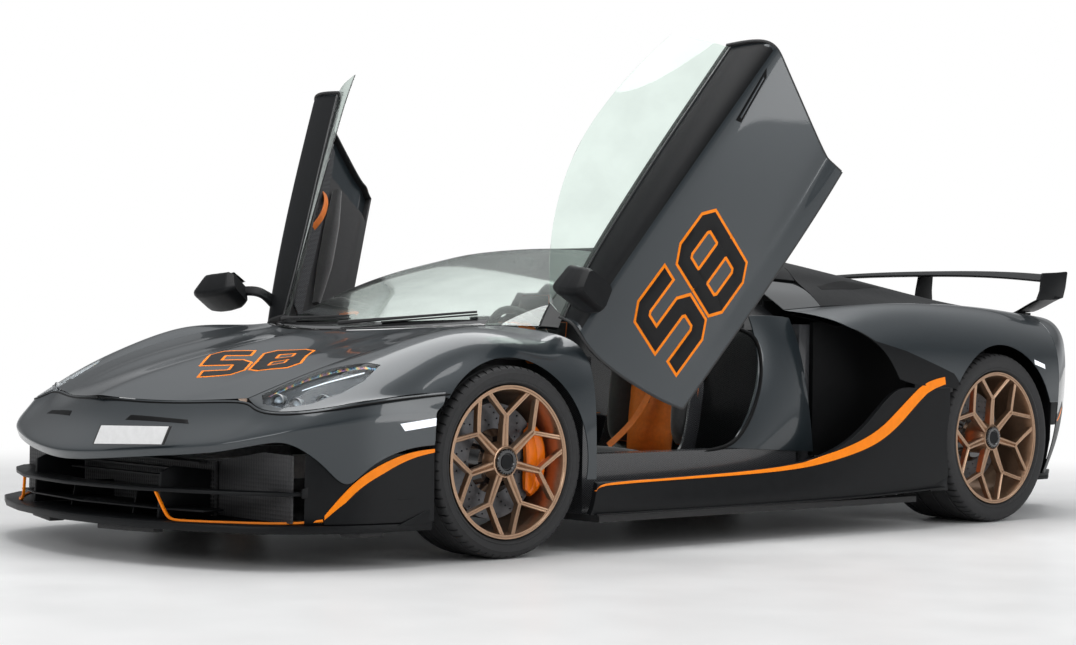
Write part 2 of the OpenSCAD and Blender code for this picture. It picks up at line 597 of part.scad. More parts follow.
// Blade of the wing: its section, and where the section's front edge lies from centre to tip
wing_section = [[0, -4], [0, 4], [200, 26], [203, 20], [80, -9]];
wing_front = [[0, 3372, 1070], [300, 3352, 1067], [560, 3322, 1056], [790, 3296, 1036]];
module wing_slice(p) {
    q = place(p);
    translate(q) rotate([90, 0, 90]) linear_extrude(2) polygon(wing_section);
}
endplate = [[3268, 948], [3470, 962], [3500, 1082], [3306, 1072]];
module rear_wing() {
    color("#191a1c") {
        both() {
            for (i = [0 : len(wing_front) - 2]) hull() {
                wing_slice(wing_front[i]);
                wing_slice(wing_front[i + 1]);
            }
            translate([sx(790), 0, 0]) rotate([90, 0, 90]) linear_extrude(12)
                polygon([for (p = endplate) let(q = place([0, p.x, p.y])) [q.y, q.z]]);
            hull() {
                block([604, 3400, 896.5], [616, 3520, 900]);
                block([790, 3300, 955], [802, 3440, 962]);
            }
        }
        block([-12, 3400, 896.5], [12, 3540, 1075]);
    }
}

// ---- under the body ----
module underfloor() {
    color("#202123") {
        block([-560, -40, 104], [560, 420, 127.5]);
        block([-980, 420, 104], [980, 2200, 127.5]);
        block([-560, 2200, 104], [560, 3140, 127.5]);
    }
}
kingpin_in = 70;
kingpin_r = 14;
arm_x = 550.6;
// A-shaped arm: forked at the tub, with an eye round the kingpin
module front_arm(dz) {
    k = front_wheel_x - kingpin_in;
    translate([0, front_axle_y, front_tyre_r + dz - 12]) difference() {
        union() {
            linear_extrude(24) polygon([[sx(arm_x), 130], [k, 12], [k, -12], [sx(arm_x), -36],
                [sx(arm_x), -14], [k - 60, -2], [k - 60, 6], [sx(arm_x), 100]]);
            translate([k, 0, 0]) cylinder(r = kingpin_r + 12, h = 24);
        }
        translate([k, 0, -1]) cylinder(r = kingpin_r + pin_play, h = 26);
    }
}
// Carrier of a wheel's spindle, with a foot for the caliper on side way (+1 rear, -1 front)
module upright(way, foot_x) {
    rotate([0, 90, 0]) {
        translate([0, 0, -90]) cylinder(r = 75, h = 40);
        translate([0, 0, -50]) cylinder(r = spindle_r, h = 110);
    }
    translate([-80, way > 0 ? 55 : -190, -40]) cube([80 + foot_x, 135, 80]);
}
module front_suspension() {
    color("#46494d") {
        both() block([250, -819.5, 250], [310, -40.5, 330]);
        both() front_arm(-130);
        both() front_arm(130);
        block([-250, -700, 250], [250, -640, 330]);
    }
}
module rear_suspension() {
    color("#46494d") {
        both() {
            block([390, 1740.5, 300], [450, 3199.5, 380]);
            translate([rear_wheel_x, rear_axle_y, rear_tyre_r]) upright(-1, -33.3);
            translate([sx(450) - 1, rear_axle_y - 60, rear_tyre_r - 40])
                cube([rear_wheel_x - 85 - sx(450), 120, 40]);
        }
    }
}
module caliper(r_disc, r_rim, w) {
    rotate([0, 90, 0]) difference() {
        rotate(-38) translate([0, 0, -w / 2 + 12]) rotate_extrude(angle = 76)
            translate([r_disc - 70, 0]) square([r_rim - caliper_gap - r_disc + 70, w]);
        translate([0, 0, -disc_t / 2 - caliper_gap + 12])
            cylinder(r = r_disc + caliper_gap, h = disc_t + 2 * caliper_gap);
    }
}
module rear_calipers() {
    color("#e8730c") both() translate([rear_wheel_x, rear_axle_y, rear_tyre_r])
        rotate([-90, 0, 0]) caliper(rear_disc_r, rear_rim_r - 2 * rim_t, 90);
}

// ---- cabin ----
dash_y = 380;
module dashboard() {
    color("#1d1e20") {
        block([-519.4, 160, 520], [519.4, dash_y, 691]);
        block([-700, 160, 690.6], [700, 418, 760]);
    }
}
module centre_console() {
    color("#1d1e20") block([-110, 421, 168.5], [110, 1300, 470]);
}
module seat(s) {
    color("#232427") side(s) {
        block([160, 560, 168.5], [640, 1240, 330]);
        block([160, 1240, 168.5], [640, 1400, 960]);
    }
}
wheel_at = [400, 560, 700];
column_tilt = 66;
column_r = 25;
module steering_wheel() {
    reach = place(wheel_at).y - place([0, dash_y, 0]).y - column_r * cos(column_tilt) - pin_play;
    column_l = reach / sin(column_tilt);
    color("#232427") translate(place(wheel_at)) rotate([-column_tilt, 0, 0]) {
        rotate_extrude() translate([175, 0]) circle(r = 15);
        cylinder(r = 60, h = 30, center = true);
        for (a = [0, 180, 270]) rotate(a) translate([0, -18, -8]) cube([170, 36, 16]);
        translate([0, 0, -column_l]) cylinder(r = column_r, h = column_l);
    }
}

// ---- moving panels ----
module engine_cover() {
    color("#191a1c") {
        sheet(patch(placed(whole(cover_net)), 2), skin_t);
        both() difference() {
            union() {
                lid_eye(cover_hinge, 345, 361);
                translate([sx(345), place(cover_hinge).y, place(cover_hinge).z]) cube([16, 60, 12]);
                translate([sx(345), place(cover_hinge).y + 44, place(cover_hinge).z])
                    cube([16, 16, 34]);
            }
            lid_pin(cover_hinge, 340, 366, pin_play);
        }
    }
}
module door(s) {
    color("#3d4650") door_swing(s) {
        sheet(patch(placed(door_net), 2), door_t);
        difference() {
            union() {
                along_hinge(-12, 24, 26);
                bar(place([850, 378, 721]) + 6 * unit(hinge_axis), place([915, 470, 742]), 12);
            }
            along_hinge(-20, 40, hinge_r + pin_play);
        }
    }
}
module door_glass(s) {
    color("#8fa39a", 0.5) door_swing(s)
        sheet(pull(patch(placed(door_glass_net), 2), 0, 0, seam, 0), glass_t);
}
module door_mirror(s) {
    color("#191a1c") door_swing(s) {
        difference() {
            block([925, 540, 780], [965, 600, 870]);
            sheet(patch(placed(door_net), 2), door_t + 2 * seam, -seam);
        }
        block([964, 550, 845], [1030, 600, 870]);
        block([1005, 520, 869], [1190, 640, 985]);
    }
}

// ---- running gear; each wheel is drawn with its outer face towards +X ----
module knuckle(s) {
    color("#6a6d71") side(s) translate([front_wheel_x, front_axle_y, front_tyre_r]) {
        upright(1, -33.3);
        translate([-kingpin_in, 0, -146]) cylinder(r = kingpin_r, h = 292);
    }
    color("#e8730c") side(s) translate([front_wheel_x, front_axle_y, front_tyre_r])
        rotate([90, 0, 0]) caliper(front_disc_r, front_rim_r - 2 * rim_t, 90);
}
module tyre(r, w, r_rim) {
    color("#161616") rotate([0, 90, 0]) rotate_extrude($fn = 96) polygon([
        [r_rim - 4, -w / 2 + 26], [r_rim + 4, -w / 2 + 8], [r - 34, -w / 2], [r - 12, -w / 2 + 8],
        [r - 3, -w / 2 + 24], [r, -w / 2 + 50], [r, w / 2 - 50], [r - 3, w / 2 - 24],
        [r - 12, w / 2 - 8], [r - 34, w / 2], [r_rim + 4, w / 2 - 8], [r_rim - 4, w / 2 - 26]]);
}
module rim(r_rim, w, r_disc) {
    face = w / 2 - 34;
    color("#8c6a4c") rotate([0, 90, 0]) {
        rotate_extrude($fn = 96) polygon([
            [r_rim - 4.6, -w / 2 + 10], [r_rim - 4.6, w / 2 - 10], [r_rim - rim_t, w / 2 - 10],
            [r_rim - 2 * rim_t, face - 20], [r_rim - 2 * rim_t, -w / 2 + 20],
            [r_rim - rim_t, -w / 2 + 10]]);
        translate([0, 0, face - 30]) linear_extrude(26) for (k = [0 : arms - 1])
            rotate(k * 360 / arms) polygon([
                [40, -13], [r_rim * 0.55, -11], [r_rim - 1.5 * rim_t, -r_rim * 0.3],
                [r_rim - 1.5 * rim_t, -r_rim * 0.2], [r_rim * 0.62, 0],
                [r_rim - 1.5 * rim_t, r_rim * 0.2], [r_rim - 1.5 * rim_t, r_rim * 0.3],
                [r_rim * 0.55, 11], [40, 13]]);
        difference() {
            translate([0, 0, -disc_t / 2 + 12]) cylinder(r = 70, h = face + disc_t / 2);
            translate([0, 0, -60]) cylinder(r = spindle_r + pin_play, h = 122);
        }
        difference() {
            translate([0, 0, -disc_t / 2 + 12]) cylinder(r = r_disc, h = disc_t);
            translate([0, 0, -60]) cylinder(r = 60, h = 122);
        }
    }
}
module at_front(s) {
    side(s) translate([front_wheel_x, front_axle_y, front_tyre_r]) children();
}
module at_rear(s) {
    side(s) translate([rear_wheel_x, rear_axle_y, rear_tyre_r]) children();
}

tub();
cabin_frame();
windscreen();
cabin_glass();
front_bumper();
front_aero();
front_splitter();
front_fender(1);  // front_fender_left
front_fender(-1);  // front_fender_right
headlamps();
side_skirt(1);  // side_skirt_left
side_skirt(-1);  // side_skirt_right
rear_fender(1);  // rear_fender_left
rear_fender(-1);  // rear_fender_right
side_ducts();
rear_bumper();
rear_fascia();
rear_diffuser();
rear_valance();
tail_lamps();
exhaust();
engine_block();
rear_deck();
rear_wing();
underfloor();
front_suspension();
rear_suspension();
rear_calipers();
dashboard();
centre_console();
seat(1);  // seat_left
seat(-1);  // seat_right
steering_wheel();
hood();
engine_cover();
door(1);  // door_left
door(-1);  // door_right
door_glass(1);  // door_glass_left
door_glass(-1);  // door_glass_right
door_mirror(1);  // mirror_left
door_mirror(-1);  // mirror_right
knuckle(1);  // knuckle_left
knuckle(-1);  // knuckle_right
at_front(1) tyre(front_tyre_r, front_tyre_w, front_rim_r);  // tyre_front_left
at_front(-1) tyre(front_tyre_r, front_tyre_w, front_rim_r);  // tyre_front_right
at_rear(1) tyre(rear_tyre_r, rear_tyre_w, rear_rim_r);  // tyre_rear_left
at_rear(-1) tyre(rear_tyre_r, rear_tyre_w, rear_rim_r);  // tyre_rear_right
at_front(1) rim(front_rim_r, front_tyre_w, front_disc_r);  // wheel_front_left
at_front(-1) rim(front_rim_r, front_tyre_w, front_disc_r);  // wheel_front_right
at_rear(1) rim(rear_rim_r, rear_tyre_w, rear_disc_r);  // wheel_rear_left
at_rear(-1) rim(rear_rim_r, rear_tyre_w, rear_disc_r);  // wheel_rear_right
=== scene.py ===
# %% [markdown]
# # A mid-engined supercar, built around its construction model
# The construction model already holds every piece at its real size, with its joints.
# This lesson gives it its looks: smooth body panels, paint, glass, wheels, lamps and a cabin.
# Everything is in metres, in the construction model's own frame: -Y is the nose, +X the driver's side.

# %% Load the frame
import json
import math
import bmesh
import bpy
import numpy as np
from mathutils import Matrix, Vector


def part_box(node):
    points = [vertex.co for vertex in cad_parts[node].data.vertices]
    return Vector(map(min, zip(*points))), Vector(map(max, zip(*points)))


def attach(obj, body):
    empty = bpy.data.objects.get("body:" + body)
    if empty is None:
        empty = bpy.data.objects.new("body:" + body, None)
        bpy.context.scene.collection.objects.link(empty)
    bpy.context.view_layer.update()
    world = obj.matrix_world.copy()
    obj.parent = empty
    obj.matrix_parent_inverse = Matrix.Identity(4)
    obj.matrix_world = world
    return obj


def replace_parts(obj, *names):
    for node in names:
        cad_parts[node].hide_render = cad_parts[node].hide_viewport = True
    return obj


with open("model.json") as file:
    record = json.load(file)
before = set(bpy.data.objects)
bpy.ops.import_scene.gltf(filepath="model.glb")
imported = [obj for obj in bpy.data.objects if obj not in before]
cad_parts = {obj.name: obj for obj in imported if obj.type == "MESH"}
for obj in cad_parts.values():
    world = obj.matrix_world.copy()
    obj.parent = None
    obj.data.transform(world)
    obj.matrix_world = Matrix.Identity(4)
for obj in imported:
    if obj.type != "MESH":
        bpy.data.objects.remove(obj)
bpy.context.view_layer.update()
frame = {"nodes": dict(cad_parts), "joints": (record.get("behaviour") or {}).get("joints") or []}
JOINTS = {j["name"]: j for j in frame["joints"]}
FRONT_AXLE_Y = JOINTS["spin_front_left"]["pos_m"][1]

# %% [markdown]
# The camera stands low, at about the height of a child's eyes, ahead of the driver's front wheel.
# It is far away and has a long lens, as for a catalogue picture, so the car keeps its true proportions.
# A camera could be aimed with a Track To constraint, but three plain unit vectors say exactly where it looks.

# %% Camera
CAMERA_AT = Vector((6.601, -4.907 + FRONT_AXLE_Y, 0.777))
AZIMUTH, TILT, ROLL = map(math.radians, (48.21, -0.24, 0.78))
SENSOR_MM = 36
FOCAL_IN_WIDTHS = 2.0325279


def add_camera():
    back = Vector((math.sin(AZIMUTH) * math.cos(TILT), -math.cos(AZIMUTH) * math.cos(TILT), math.sin(TILT)))
    right = Vector((0, 0, 1)).cross(back).normalized()
    up = back.cross(right)
    right, up = (right * math.cos(ROLL) + up * math.sin(ROLL), up * math.cos(ROLL) - right * math.sin(ROLL))
    camera = bpy.data.objects.new("camera", bpy.data.cameras.new("camera"))
    camera.matrix_world = Matrix.Translation(CAMERA_AT) @ Matrix((right, up, back)).transposed().to_4x4()
    camera.data.sensor_width = SENSOR_MM
    camera.data.lens = FOCAL_IN_WIDTHS * SENSOR_MM
    camera.data.clip_end = 100
    bpy.context.scene.collection.objects.link(camera)
    bpy.context.scene.camera = camera
    print("camera lens", round(camera.data.lens, 1), "mm")


add_camera()

# %% [markdown]
# A car is drawn in stations: distances behind the front axle, out from the centre plane and up from the floor.
# The nets of points below are written in millimetres in that way, so that they read like a body drawing.
# `mm` turns such points into metres in the frame.

# %% Units
MM = 0.001


def mm(points):
    """Points [out, behind the front axle, up] in millimetres, as an array in metres in the frame."""
    p = np.asarray(points, float) * MM
    p[..., 1] += FRONT_AXLE_Y
    return p


def net(text):
    """A table of offsets as a net: "out behind up" for a point, commas between points, a slash between rows."""
    return [[[float(v) for v in point.split()] for point in row.split(",")] for row in text.split("/")]


def whole(net_rows):
    """A net drawn from the centre plane outwards, made whole by mirroring it."""
    return [[[-p[0], p[1], p[2]] for p in row[:0:-1]] + row for row in net_rows]


# %% [markdown]
# Body panels are smooth sheets pressed between dies, so their surfaces have no kinks.
# A subdivision cage would do, but its edges pull in. A cubic B-spline net keeps its border curves,
# and bends as softly inside, so neighbouring panels that share a border line always meet.
# The spline is worked out once as a table of weights, and then a panel is just two matrix products.

# %% Smooth nets
def spline_weights(count, steps):
    """Rows of weights that turn `count` control points into a smooth curve through its two end points."""
    rows = []
    for k in range(steps * (count - 1) + 1):
        t = k / steps
        i = min(int(t), count - 2)
        f = t - i
        w = np.array([(1 - f) ** 3, 3 * f**3 - 6 * f * f + 4, 3 * f * f - 3 * f**3 + 3 * f + 1, f**3]) / 6
        row = np.zeros(count + 2)
        row[i:i + 4] = w
        row[1] += 2 * row[0]
        row[2] -= row[0]
        row[-2] += 2 * row[-1]
        row[-3] -= row[-1]
        rows.append(row[1:-1])
    return np.array(rows)


def smooth_line(points, steps=8):
    points = np.asarray(points, float)
    return spline_weights(len(points), steps) @ points


def smooth_net(net, steps=8):
    net = np.asarray(net, float)
    a = spline_weights(net.shape[0], steps)
    b = spline_weights(net.shape[1], steps)
    return np.einsum("ri,ijk,cj->rck", a, net, b)


def unit(v):
    return v / np.maximum(np.linalg.norm(v, axis=-1, keepdims=True), 1e-12)


SPINE_FRONT, SPINE_REAR, SPINE_UP = -0.5, 2.9, 0.45


def inward(p):
    """Direction from points on the skin towards the car's middle: the way that panel edges are folded."""
    q = np.zeros_like(p)
    q[..., 1] = np.clip(p[..., 1], SPINE_FRONT + FRONT_AXLE_Y, SPINE_REAR + FRONT_AXLE_Y)
    q[..., 2] = SPINE_UP
    return unit(q - p)


# %% [markdown]
# A mesh object is made in one place, so that every piece gets its finish, its body and its shading alike.
# Faces are shaded smooth, and edges sharper than an angle are marked, so that creases stay crisp.

# %% Making a piece
PIECES = {}


def add_mesh(name, verts, faces, material, body="body", slot=None, sharp=32, materials=None, face_mats=None):
    mesh = bpy.data.meshes.new(name)
    mesh.from_pydata([tuple(v) for v in np.asarray(verts, float)], [], [tuple(map(int, f)) for f in faces])
    for m in (materials or [material]):
        mesh.materials.append(m)
    if face_mats is not None:
        mesh.polygons.foreach_set("material_index", np.asarray(face_mats, np.int32))
    return add_object(name, mesh, body, sharp)


def add_object(name, mesh, body="body", sharp=32):
    bm = bmesh.new()
    bm.from_mesh(mesh)
    bmesh.ops.remove_doubles(bm, verts=bm.verts, dist=2e-5)
    bmesh.ops.dissolve_degenerate(bm, dist=1e-5, edges=bm.edges)
    bmesh.ops.recalc_face_normals(bm, faces=bm.faces)
    bm.to_mesh(mesh)
    bm.free()
    mesh.shade_smooth()
    if sharp:
        mesh.set_sharp_from_angle(angle=math.radians(sharp))
    piece = bpy.data.objects.new(name, mesh)
    bpy.context.scene.collection.objects.link(piece)
    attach(piece, body)
    PIECES[name] = piece
    return piece


def apply_modifiers(piece):
    bpy.context.view_layer.update()
    deps = bpy.context.evaluated_depsgraph_get()
    mesh = bpy.data.meshes.new_from_object(piece.evaluated_get(deps))
    piece.modifiers.clear()
    old = piece.data
    piece.data = mesh
    mesh.name = old.name
    bpy.data.meshes.remove(old)
    return piece


def cut(piece, *cutters, keep=False, sharp=32):
    """Takes the cutters' volumes out of a piece, or keeps only what lies in them."""
    for c in cutters:
        m = piece.modifiers.new("cut", "BOOLEAN")
        m.operation = "INTERSECT" if keep else "DIFFERENCE"
        m.solver = "EXACT"
        m.object = c
        c.hide_render = True
    apply_modifiers(piece)
    bm = bmesh.new()
    bm.from_mesh(piece.data)
    bmesh.ops.remove_doubles(bm, verts=bm.verts, dist=2e-5)
    bmesh.ops.dissolve_degenerate(bm, dist=1e-5, edges=bm.edges)
    bm.to_mesh(piece.data)
    bm.free()
    piece.data.shade_smooth()
    piece.data.set_sharp_from_angle(angle=math.radians(sharp))
    return piece


def drop(*objects):
    """Removes helper objects, such as cutters, once they have done their work."""
    for o in objects:
        mesh = o.data
        bpy.data.objects.remove(o)
        bpy.data.meshes.remove(mesh)


def helper_mesh(name, verts, faces):
    mesh = bpy.data.meshes.new(name)
    mesh.from_pydata([tuple(v) for v in verts], [], [tuple(map(int, f)) for f in faces])
    bm = bmesh.new()
    bm.from_mesh(mesh)
    bmesh.ops.recalc_face_normals(bm, faces=bm.faces)
    bm.to_mesh(mesh)
    bm.free()
    o = bpy.data.objects.new(name, mesh)
    bpy.context.scene.collection.objects.link(o)
    return o


# %% [markdown]
# A pressed panel's edge is folded over: a small round on the outside, then a return flange.
# Each panel is its outer net, a ring of small bevel faces, side walls and an inner net, all one closed mesh.
# The borders are pulled in by half of a shut line, which gives the dark, even joints between panels.

# %% Panels from nets
SHUT = 2.0 * MM
BEVEL = 1.2 * MM


def pull(g, first, last, left, right):
    """Moves the four borders of a grid inwards along the surface."""
    g = g.copy()
    if first:
        g[0] += first * unit(g[1] - g[0])
    if last:
        g[-1] += last * unit(g[-2] - g[-1])
    if left:
        g[:, 0] += left * unit(g[:, 1] - g[:, 0])
    if right:
        g[:, -1] += right * unit(g[:, -2] - g[:, -1])
    return g


def grid_faces(rows, cols, start=0):
    i, j = np.meshgrid(np.arange(rows - 1), np.arange(cols - 1), indexing="ij")
    a = start + i * cols + j
    return np.stack([a, a + 1, a + cols + 1, a + cols], -1).reshape(-1, 4)


def panel_mesh(g, gaps, thick, bevel=BEVEL, into=None):
    """Closed sheet from an outer grid: surface, bevelled rim, side walls and inner face."""
    gaps = [SHUT if s is None else s for s in gaps]
    into = inward if into is None else into
    ring = pull(g, *gaps)
    top = pull(g, *[s + bevel for s in gaps])
    rows, cols = g.shape[:2]
    ri = np.r_[0, 0, np.arange(rows), rows - 1, rows - 1]
    ci = np.r_[0, 0, np.arange(cols), cols - 1, cols - 1]
    depth_r = np.r_[thick, bevel, np.zeros(rows), bevel, thick]
    depth_c = np.r_[thick, bevel, np.zeros(cols), bevel, thick]
    depth = np.maximum(depth_r[:, None], depth_c[None, :])
    p = np.where((depth > 0)[..., None], ring[ri][:, ci], top[ri][:, ci])
    p = p + depth[..., None] * into(p)
    inner = ring + thick * into(ring)
    verts = np.concatenate([p.reshape(-1, 3), inner.reshape(-1, 3)])
    faces = np.concatenate([grid_faces(*p.shape[:2]), grid_faces(rows, cols, p.shape[0] * p.shape[1])[:, ::-1]])
    return verts, faces


def add_panel(name, net, material, body="body", slot="paint", gaps=(None,) * 4, thick=4 * MM, steps=8, side=1,
        into=None, is_grid=False, sharp=32):
    g = net if is_grid else smooth_net(mm(net), steps)
    verts, faces = panel_mesh(g, gaps, thick, into=into)
    if side < 0:
        verts = verts * [-1, 1, 1]
        faces = faces[:, ::-1]
    return add_mesh(name, verts, faces, material, body, slot, sharp)


SIDES = (("left", 1), ("right", -1))
print("helpers ready")
# %% [markdown]
# Every finish is a small node tree. Real surfaces are never one flat value: paint has flake and faint
# orange peel, moulded plastic has grain, rubber is cloudy. Noise textures in object space give that
# without any image, and object space keeps the scale right, because the car is drawn at its real size.

# %% Finishes
def new_material(name):
    m = bpy.data.materials.new(name)
    m.use_nodes = True
    nodes = m.node_tree.nodes
    return m, nodes, m.node_tree.links, nodes["Principled BSDF"]


def add_node(nodes, kind, **values):
    n = nodes.new(kind)
    for key, value in values.items():
        if key in n.inputs:
            n.inputs[key].default_value = value
        else:
            setattr(n, key, value)
    return n


def noise(nodes, links, scale, detail=3.0, stretch=None):
    where = nodes.new("ShaderNodeTexCoord")
    n = add_node(nodes, "ShaderNodeTexNoise", Scale=scale, Detail=detail)
    source = where.outputs["Object"]
    if stretch:
        mapping = nodes.new("ShaderNodeMapping")
        mapping.inputs["Scale"].default_value = stretch
        links.new(source, mapping.inputs["Vector"])
        source = mapping.outputs["Vector"]
    links.new(source, n.inputs["Vector"])
    return n.outputs["Fac"]


def shade(colour, k):
    return tuple(min(1, c * k) for c in colour[:3]) + (1,)


def two_tone(nodes, links, fac, dark, light, low=0.35, high=0.65):
    ramp = nodes.new("ShaderNodeValToRGB")
    ramp.color_ramp.elements[0].position = low
    ramp.color_ramp.elements[0].color = dark
    ramp.color_ramp.elements[1].position = high
    ramp.color_ramp.elements[1].color = light
    links.new(fac, ramp.inputs["Fac"])
    return ramp.outputs["Color"]


def spread(nodes, links, fac, low, high):
    r = add_node(nodes, "ShaderNodeMapRange")
    r.inputs["To Min"].default_value = low
    r.inputs["To Max"].default_value = high
    links.new(fac, r.inputs["Value"])
    return r.outputs["Result"]


def bump(nodes, links, bsdf, fac, depth, strength=1.0):
    b = add_node(nodes, "ShaderNodeBump", Strength=strength, Distance=depth)
    links.new(fac, b.inputs["Height"])
    links.new(b.outputs["Normal"], bsdf.inputs["Normal"])


def finish(name, colour, rough=0.5, metal=0.0, coat=0.0, vary=0.12, scale=40, grain=None, grain_depth=0.0,
        rough_vary=0.06, stretch=None, coat_rough=0.03, specular=0.5, sheen=0.0):
    """A finish with cloudy colour and gloss, and grain of a given scale and depth."""
    m, nodes, links, bsdf = new_material(name)
    cloud = noise(nodes, links, scale, stretch=stretch)
    links.new(two_tone(nodes, links, cloud, shade(colour, 1 - vary), shade(colour, 1 + vary)),
        bsdf.inputs["Base Color"])
    links.new(spread(nodes, links, cloud, max(0.02, rough - rough_vary), rough + rough_vary),
        bsdf.inputs["Roughness"])
    bsdf.inputs["Metallic"].default_value = metal
    bsdf.inputs["Coat Weight"].default_value = coat
    bsdf.inputs["Coat Roughness"].default_value = coat_rough
    bsdf.inputs["Specular IOR Level"].default_value = specular
    bsdf.inputs["Sheen Weight"].default_value = sheen
    if grain:
        bump(nodes, links, bsdf, noise(nodes, links, grain, detail=2, stretch=stretch), grain_depth)
    return m


def clear(name, tint, rough=0.01, alpha=None, vary=0.04):
    """Glass: a thin tinted pane that lets light straight through, with a clear reflection."""
    m, nodes, links, bsdf = new_material(name)
    cloud = noise(nodes, links, 6)
    links.new(two_tone(nodes, links, cloud, shade(tint, 1 - vary), shade(tint, 1 + vary)),
        bsdf.inputs["Base Color"])
    links.new(spread(nodes, links, cloud, rough, rough + 0.02), bsdf.inputs["Roughness"])
    bsdf.inputs["IOR"].default_value = 1.45
    if alpha is None:
        bsdf.inputs["Transmission Weight"].default_value = 1.0
    else:
        bsdf.inputs["Alpha"].default_value = alpha
    return m


def weave(name, colour, pitch, rough=0.35, coat=0.6):
    """Carbon cloth: two sets of tows that pass over and under each other, under lacquer."""
    m, nodes, links, bsdf = new_material(name)
    where = nodes.new("ShaderNodeTexCoord")
    checker = add_node(nodes, "ShaderNodeTexChecker", Scale=1 / pitch)
    links.new(where.outputs["Object"], checker.inputs["Vector"])
    links.new(two_tone(nodes, links, checker.outputs["Fac"], shade(colour, 0.6), shade(colour, 1.5), 0.3, 0.7),
        bsdf.inputs["Base Color"])
    links.new(spread(nodes, links, checker.outputs["Fac"], rough - 0.08, rough + 0.08), bsdf.inputs["Roughness"])
    bsdf.inputs["Coat Weight"].default_value = coat
    bsdf.inputs["Coat Roughness"].default_value = 0.12
    return m


def painted(name, colour, flake, rough=0.3):
    """Metallic lacquer: fine flake under a deep, smooth clear coat with a trace of orange peel."""
    m, nodes, links, bsdf = new_material(name)
    fine = noise(nodes, links, 3500, detail=1)
    links.new(two_tone(nodes, links, fine, shade(colour, 0.9), shade(colour, 1.15)), bsdf.inputs["Base Color"])
    links.new(spread(nodes, links, fine, rough - 0.05, rough + 0.05), bsdf.inputs["Roughness"])
    bsdf.inputs["Metallic"].default_value = flake
    bsdf.inputs["Coat Weight"].default_value = 0.75
    bsdf.inputs["Coat Roughness"].default_value = 0.015
    peel = add_node(nodes, "ShaderNodeBump", Strength=0.25, Distance=0.00008)
    links.new(noise(nodes, links, 220, detail=1), peel.inputs["Height"])
    links.new(peel.outputs["Normal"], bsdf.inputs["Coat Normal"])
    return m


def glow(name, colour, strength):
    m, nodes, links, bsdf = new_material(name)
    cloud = noise(nodes, links, 60)
    links.new(two_tone(nodes, links, cloud, shade(colour, 0.9), shade(colour, 1.05)), bsdf.inputs["Base Color"])
    links.new(two_tone(nodes, links, cloud, shade(colour, 0.95), shade(colour, 1)), bsdf.inputs["Emission Color"])
    bsdf.inputs["Emission Strength"].default_value = strength
    return m


def punched(name, colour, pitch, hole=0.36):
    """Black mesh: a hexagon-like pattern of holes in a plastic sheet, with the holes painted dark as painted shade of
    the space behind them.
    """
    m, nodes, links, bsdf = new_material(name)
    where = nodes.new("ShaderNodeTexCoord")
    cells = add_node(nodes, "ShaderNodeTexVoronoi", Scale=1 / pitch, Randomness=0.0)
    links.new(where.outputs["Object"], cells.inputs["Vector"])
    links.new(two_tone(nodes, links, cells.outputs["Distance"], shade(colour, 0.1), shade(colour, 1.6),
        hole - 0.04, hole + 0.04), bsdf.inputs["Base Color"])
    bump(nodes, links, bsdf, cells.outputs["Distance"], 0.004)
    bsdf.inputs["Roughness"].default_value = 0.5
    return m


PAINT = painted("blue_grey_paint", (0.018, 0.025, 0.030), 0.30)
SATIN_BLACK = finish("satin_black", (0.0055, 0.006, 0.0068), 0.42, vary=0.1, scale=25, grain=900,
    grain_depth=0.00004, specular=0.16)
CARBON = weave("carbon_cloth", (0.03, 0.031, 0.034), 0.004)
# matte black of ducts and seals; laid flat in slots, scoops and pipes it is painted shade of their depth
DUCT_BLACK_AND_SHADE = finish("duct_black", (0.003, 0.0032, 0.0036), 0.55, vary=0.2, grain=700, grain_depth=0.00008,
    specular=0.12)
GLOSS_BLACK = finish("gloss_black", (0.008, 0.008, 0.009), 0.12, coat=1.0, vary=0.1, scale=12, rough_vary=0.02)
ORANGE = finish("orange_stripe", (0.95, 0.235, 0.0), 0.45, vary=0.04, scale=30, rough_vary=0.03, specular=0.25)
FILM_BLACK = finish("black_film", (0.006, 0.006, 0.0065), 0.4, vary=0.1, scale=30, specular=0.2)
GLASS = clear("clear_glass", (0.80, 0.90, 0.845))
LAMP_GLASS = finish("projector_glass", (0.30, 0.34, 0.38), 0.05, metal=0.3, coat=1.0, vary=0.2, scale=60,
    rough_vary=0.02)
DARK_GLASS = finish("privacy_glass", (0.012, 0.014, 0.015), 0.05, coat=1.0, vary=0.1, scale=5, rough_vary=0.02)
BLACK_EDGE = finish("glass_edge_print", (0.008, 0.008, 0.009), 0.2, coat=1.0, vary=0.1)
RUBBER = finish("tyre_rubber", (0.017, 0.017, 0.018), 0.72, vary=0.18, scale=55, grain=1300, grain_depth=0.00012)
BRONZE = finish("satin_bronze", (0.40, 0.255, 0.165), 0.30, metal=0.85, coat=0.25, vary=0.05, scale=70, grain=1600,
    grain_depth=0.00002)
STEEL = finish("disc_steel", (0.085, 0.085, 0.09), 0.36, metal=0.45, vary=0.15, scale=60, grain=500,
    grain_depth=0.00005)
EXHAUST = finish("exhaust_steel", (0.22, 0.2, 0.19), 0.3, metal=0.95, vary=0.3, scale=30, grain=400,
    grain_depth=0.00004)
CAST = finish("cast_alloy", (0.33, 0.335, 0.34), 0.5, metal=0.9, vary=0.12, scale=60, grain=700, grain_depth=0.0001)
CALIPER = finish("caliper_orange", (0.92, 0.19, 0.0), 0.35, coat=0.3, vary=0.05, scale=60, rough_vary=0.03,
    specular=0.3)
HIDE = finish("black_microfibre", (0.016, 0.016, 0.017), 0.85, vary=0.25, scale=90, grain=1500, grain_depth=0.0002,
    sheen=0.4)
ORANGE_HIDE = finish("orange_hide", (0.62, 0.15, 0.012), 0.55, vary=0.08, scale=60, grain=900, grain_depth=0.00015)
MOULDED = finish("moulded_trim", (0.02, 0.02, 0.021), 0.6, vary=0.15, scale=60, grain=1100, grain_depth=0.0001)
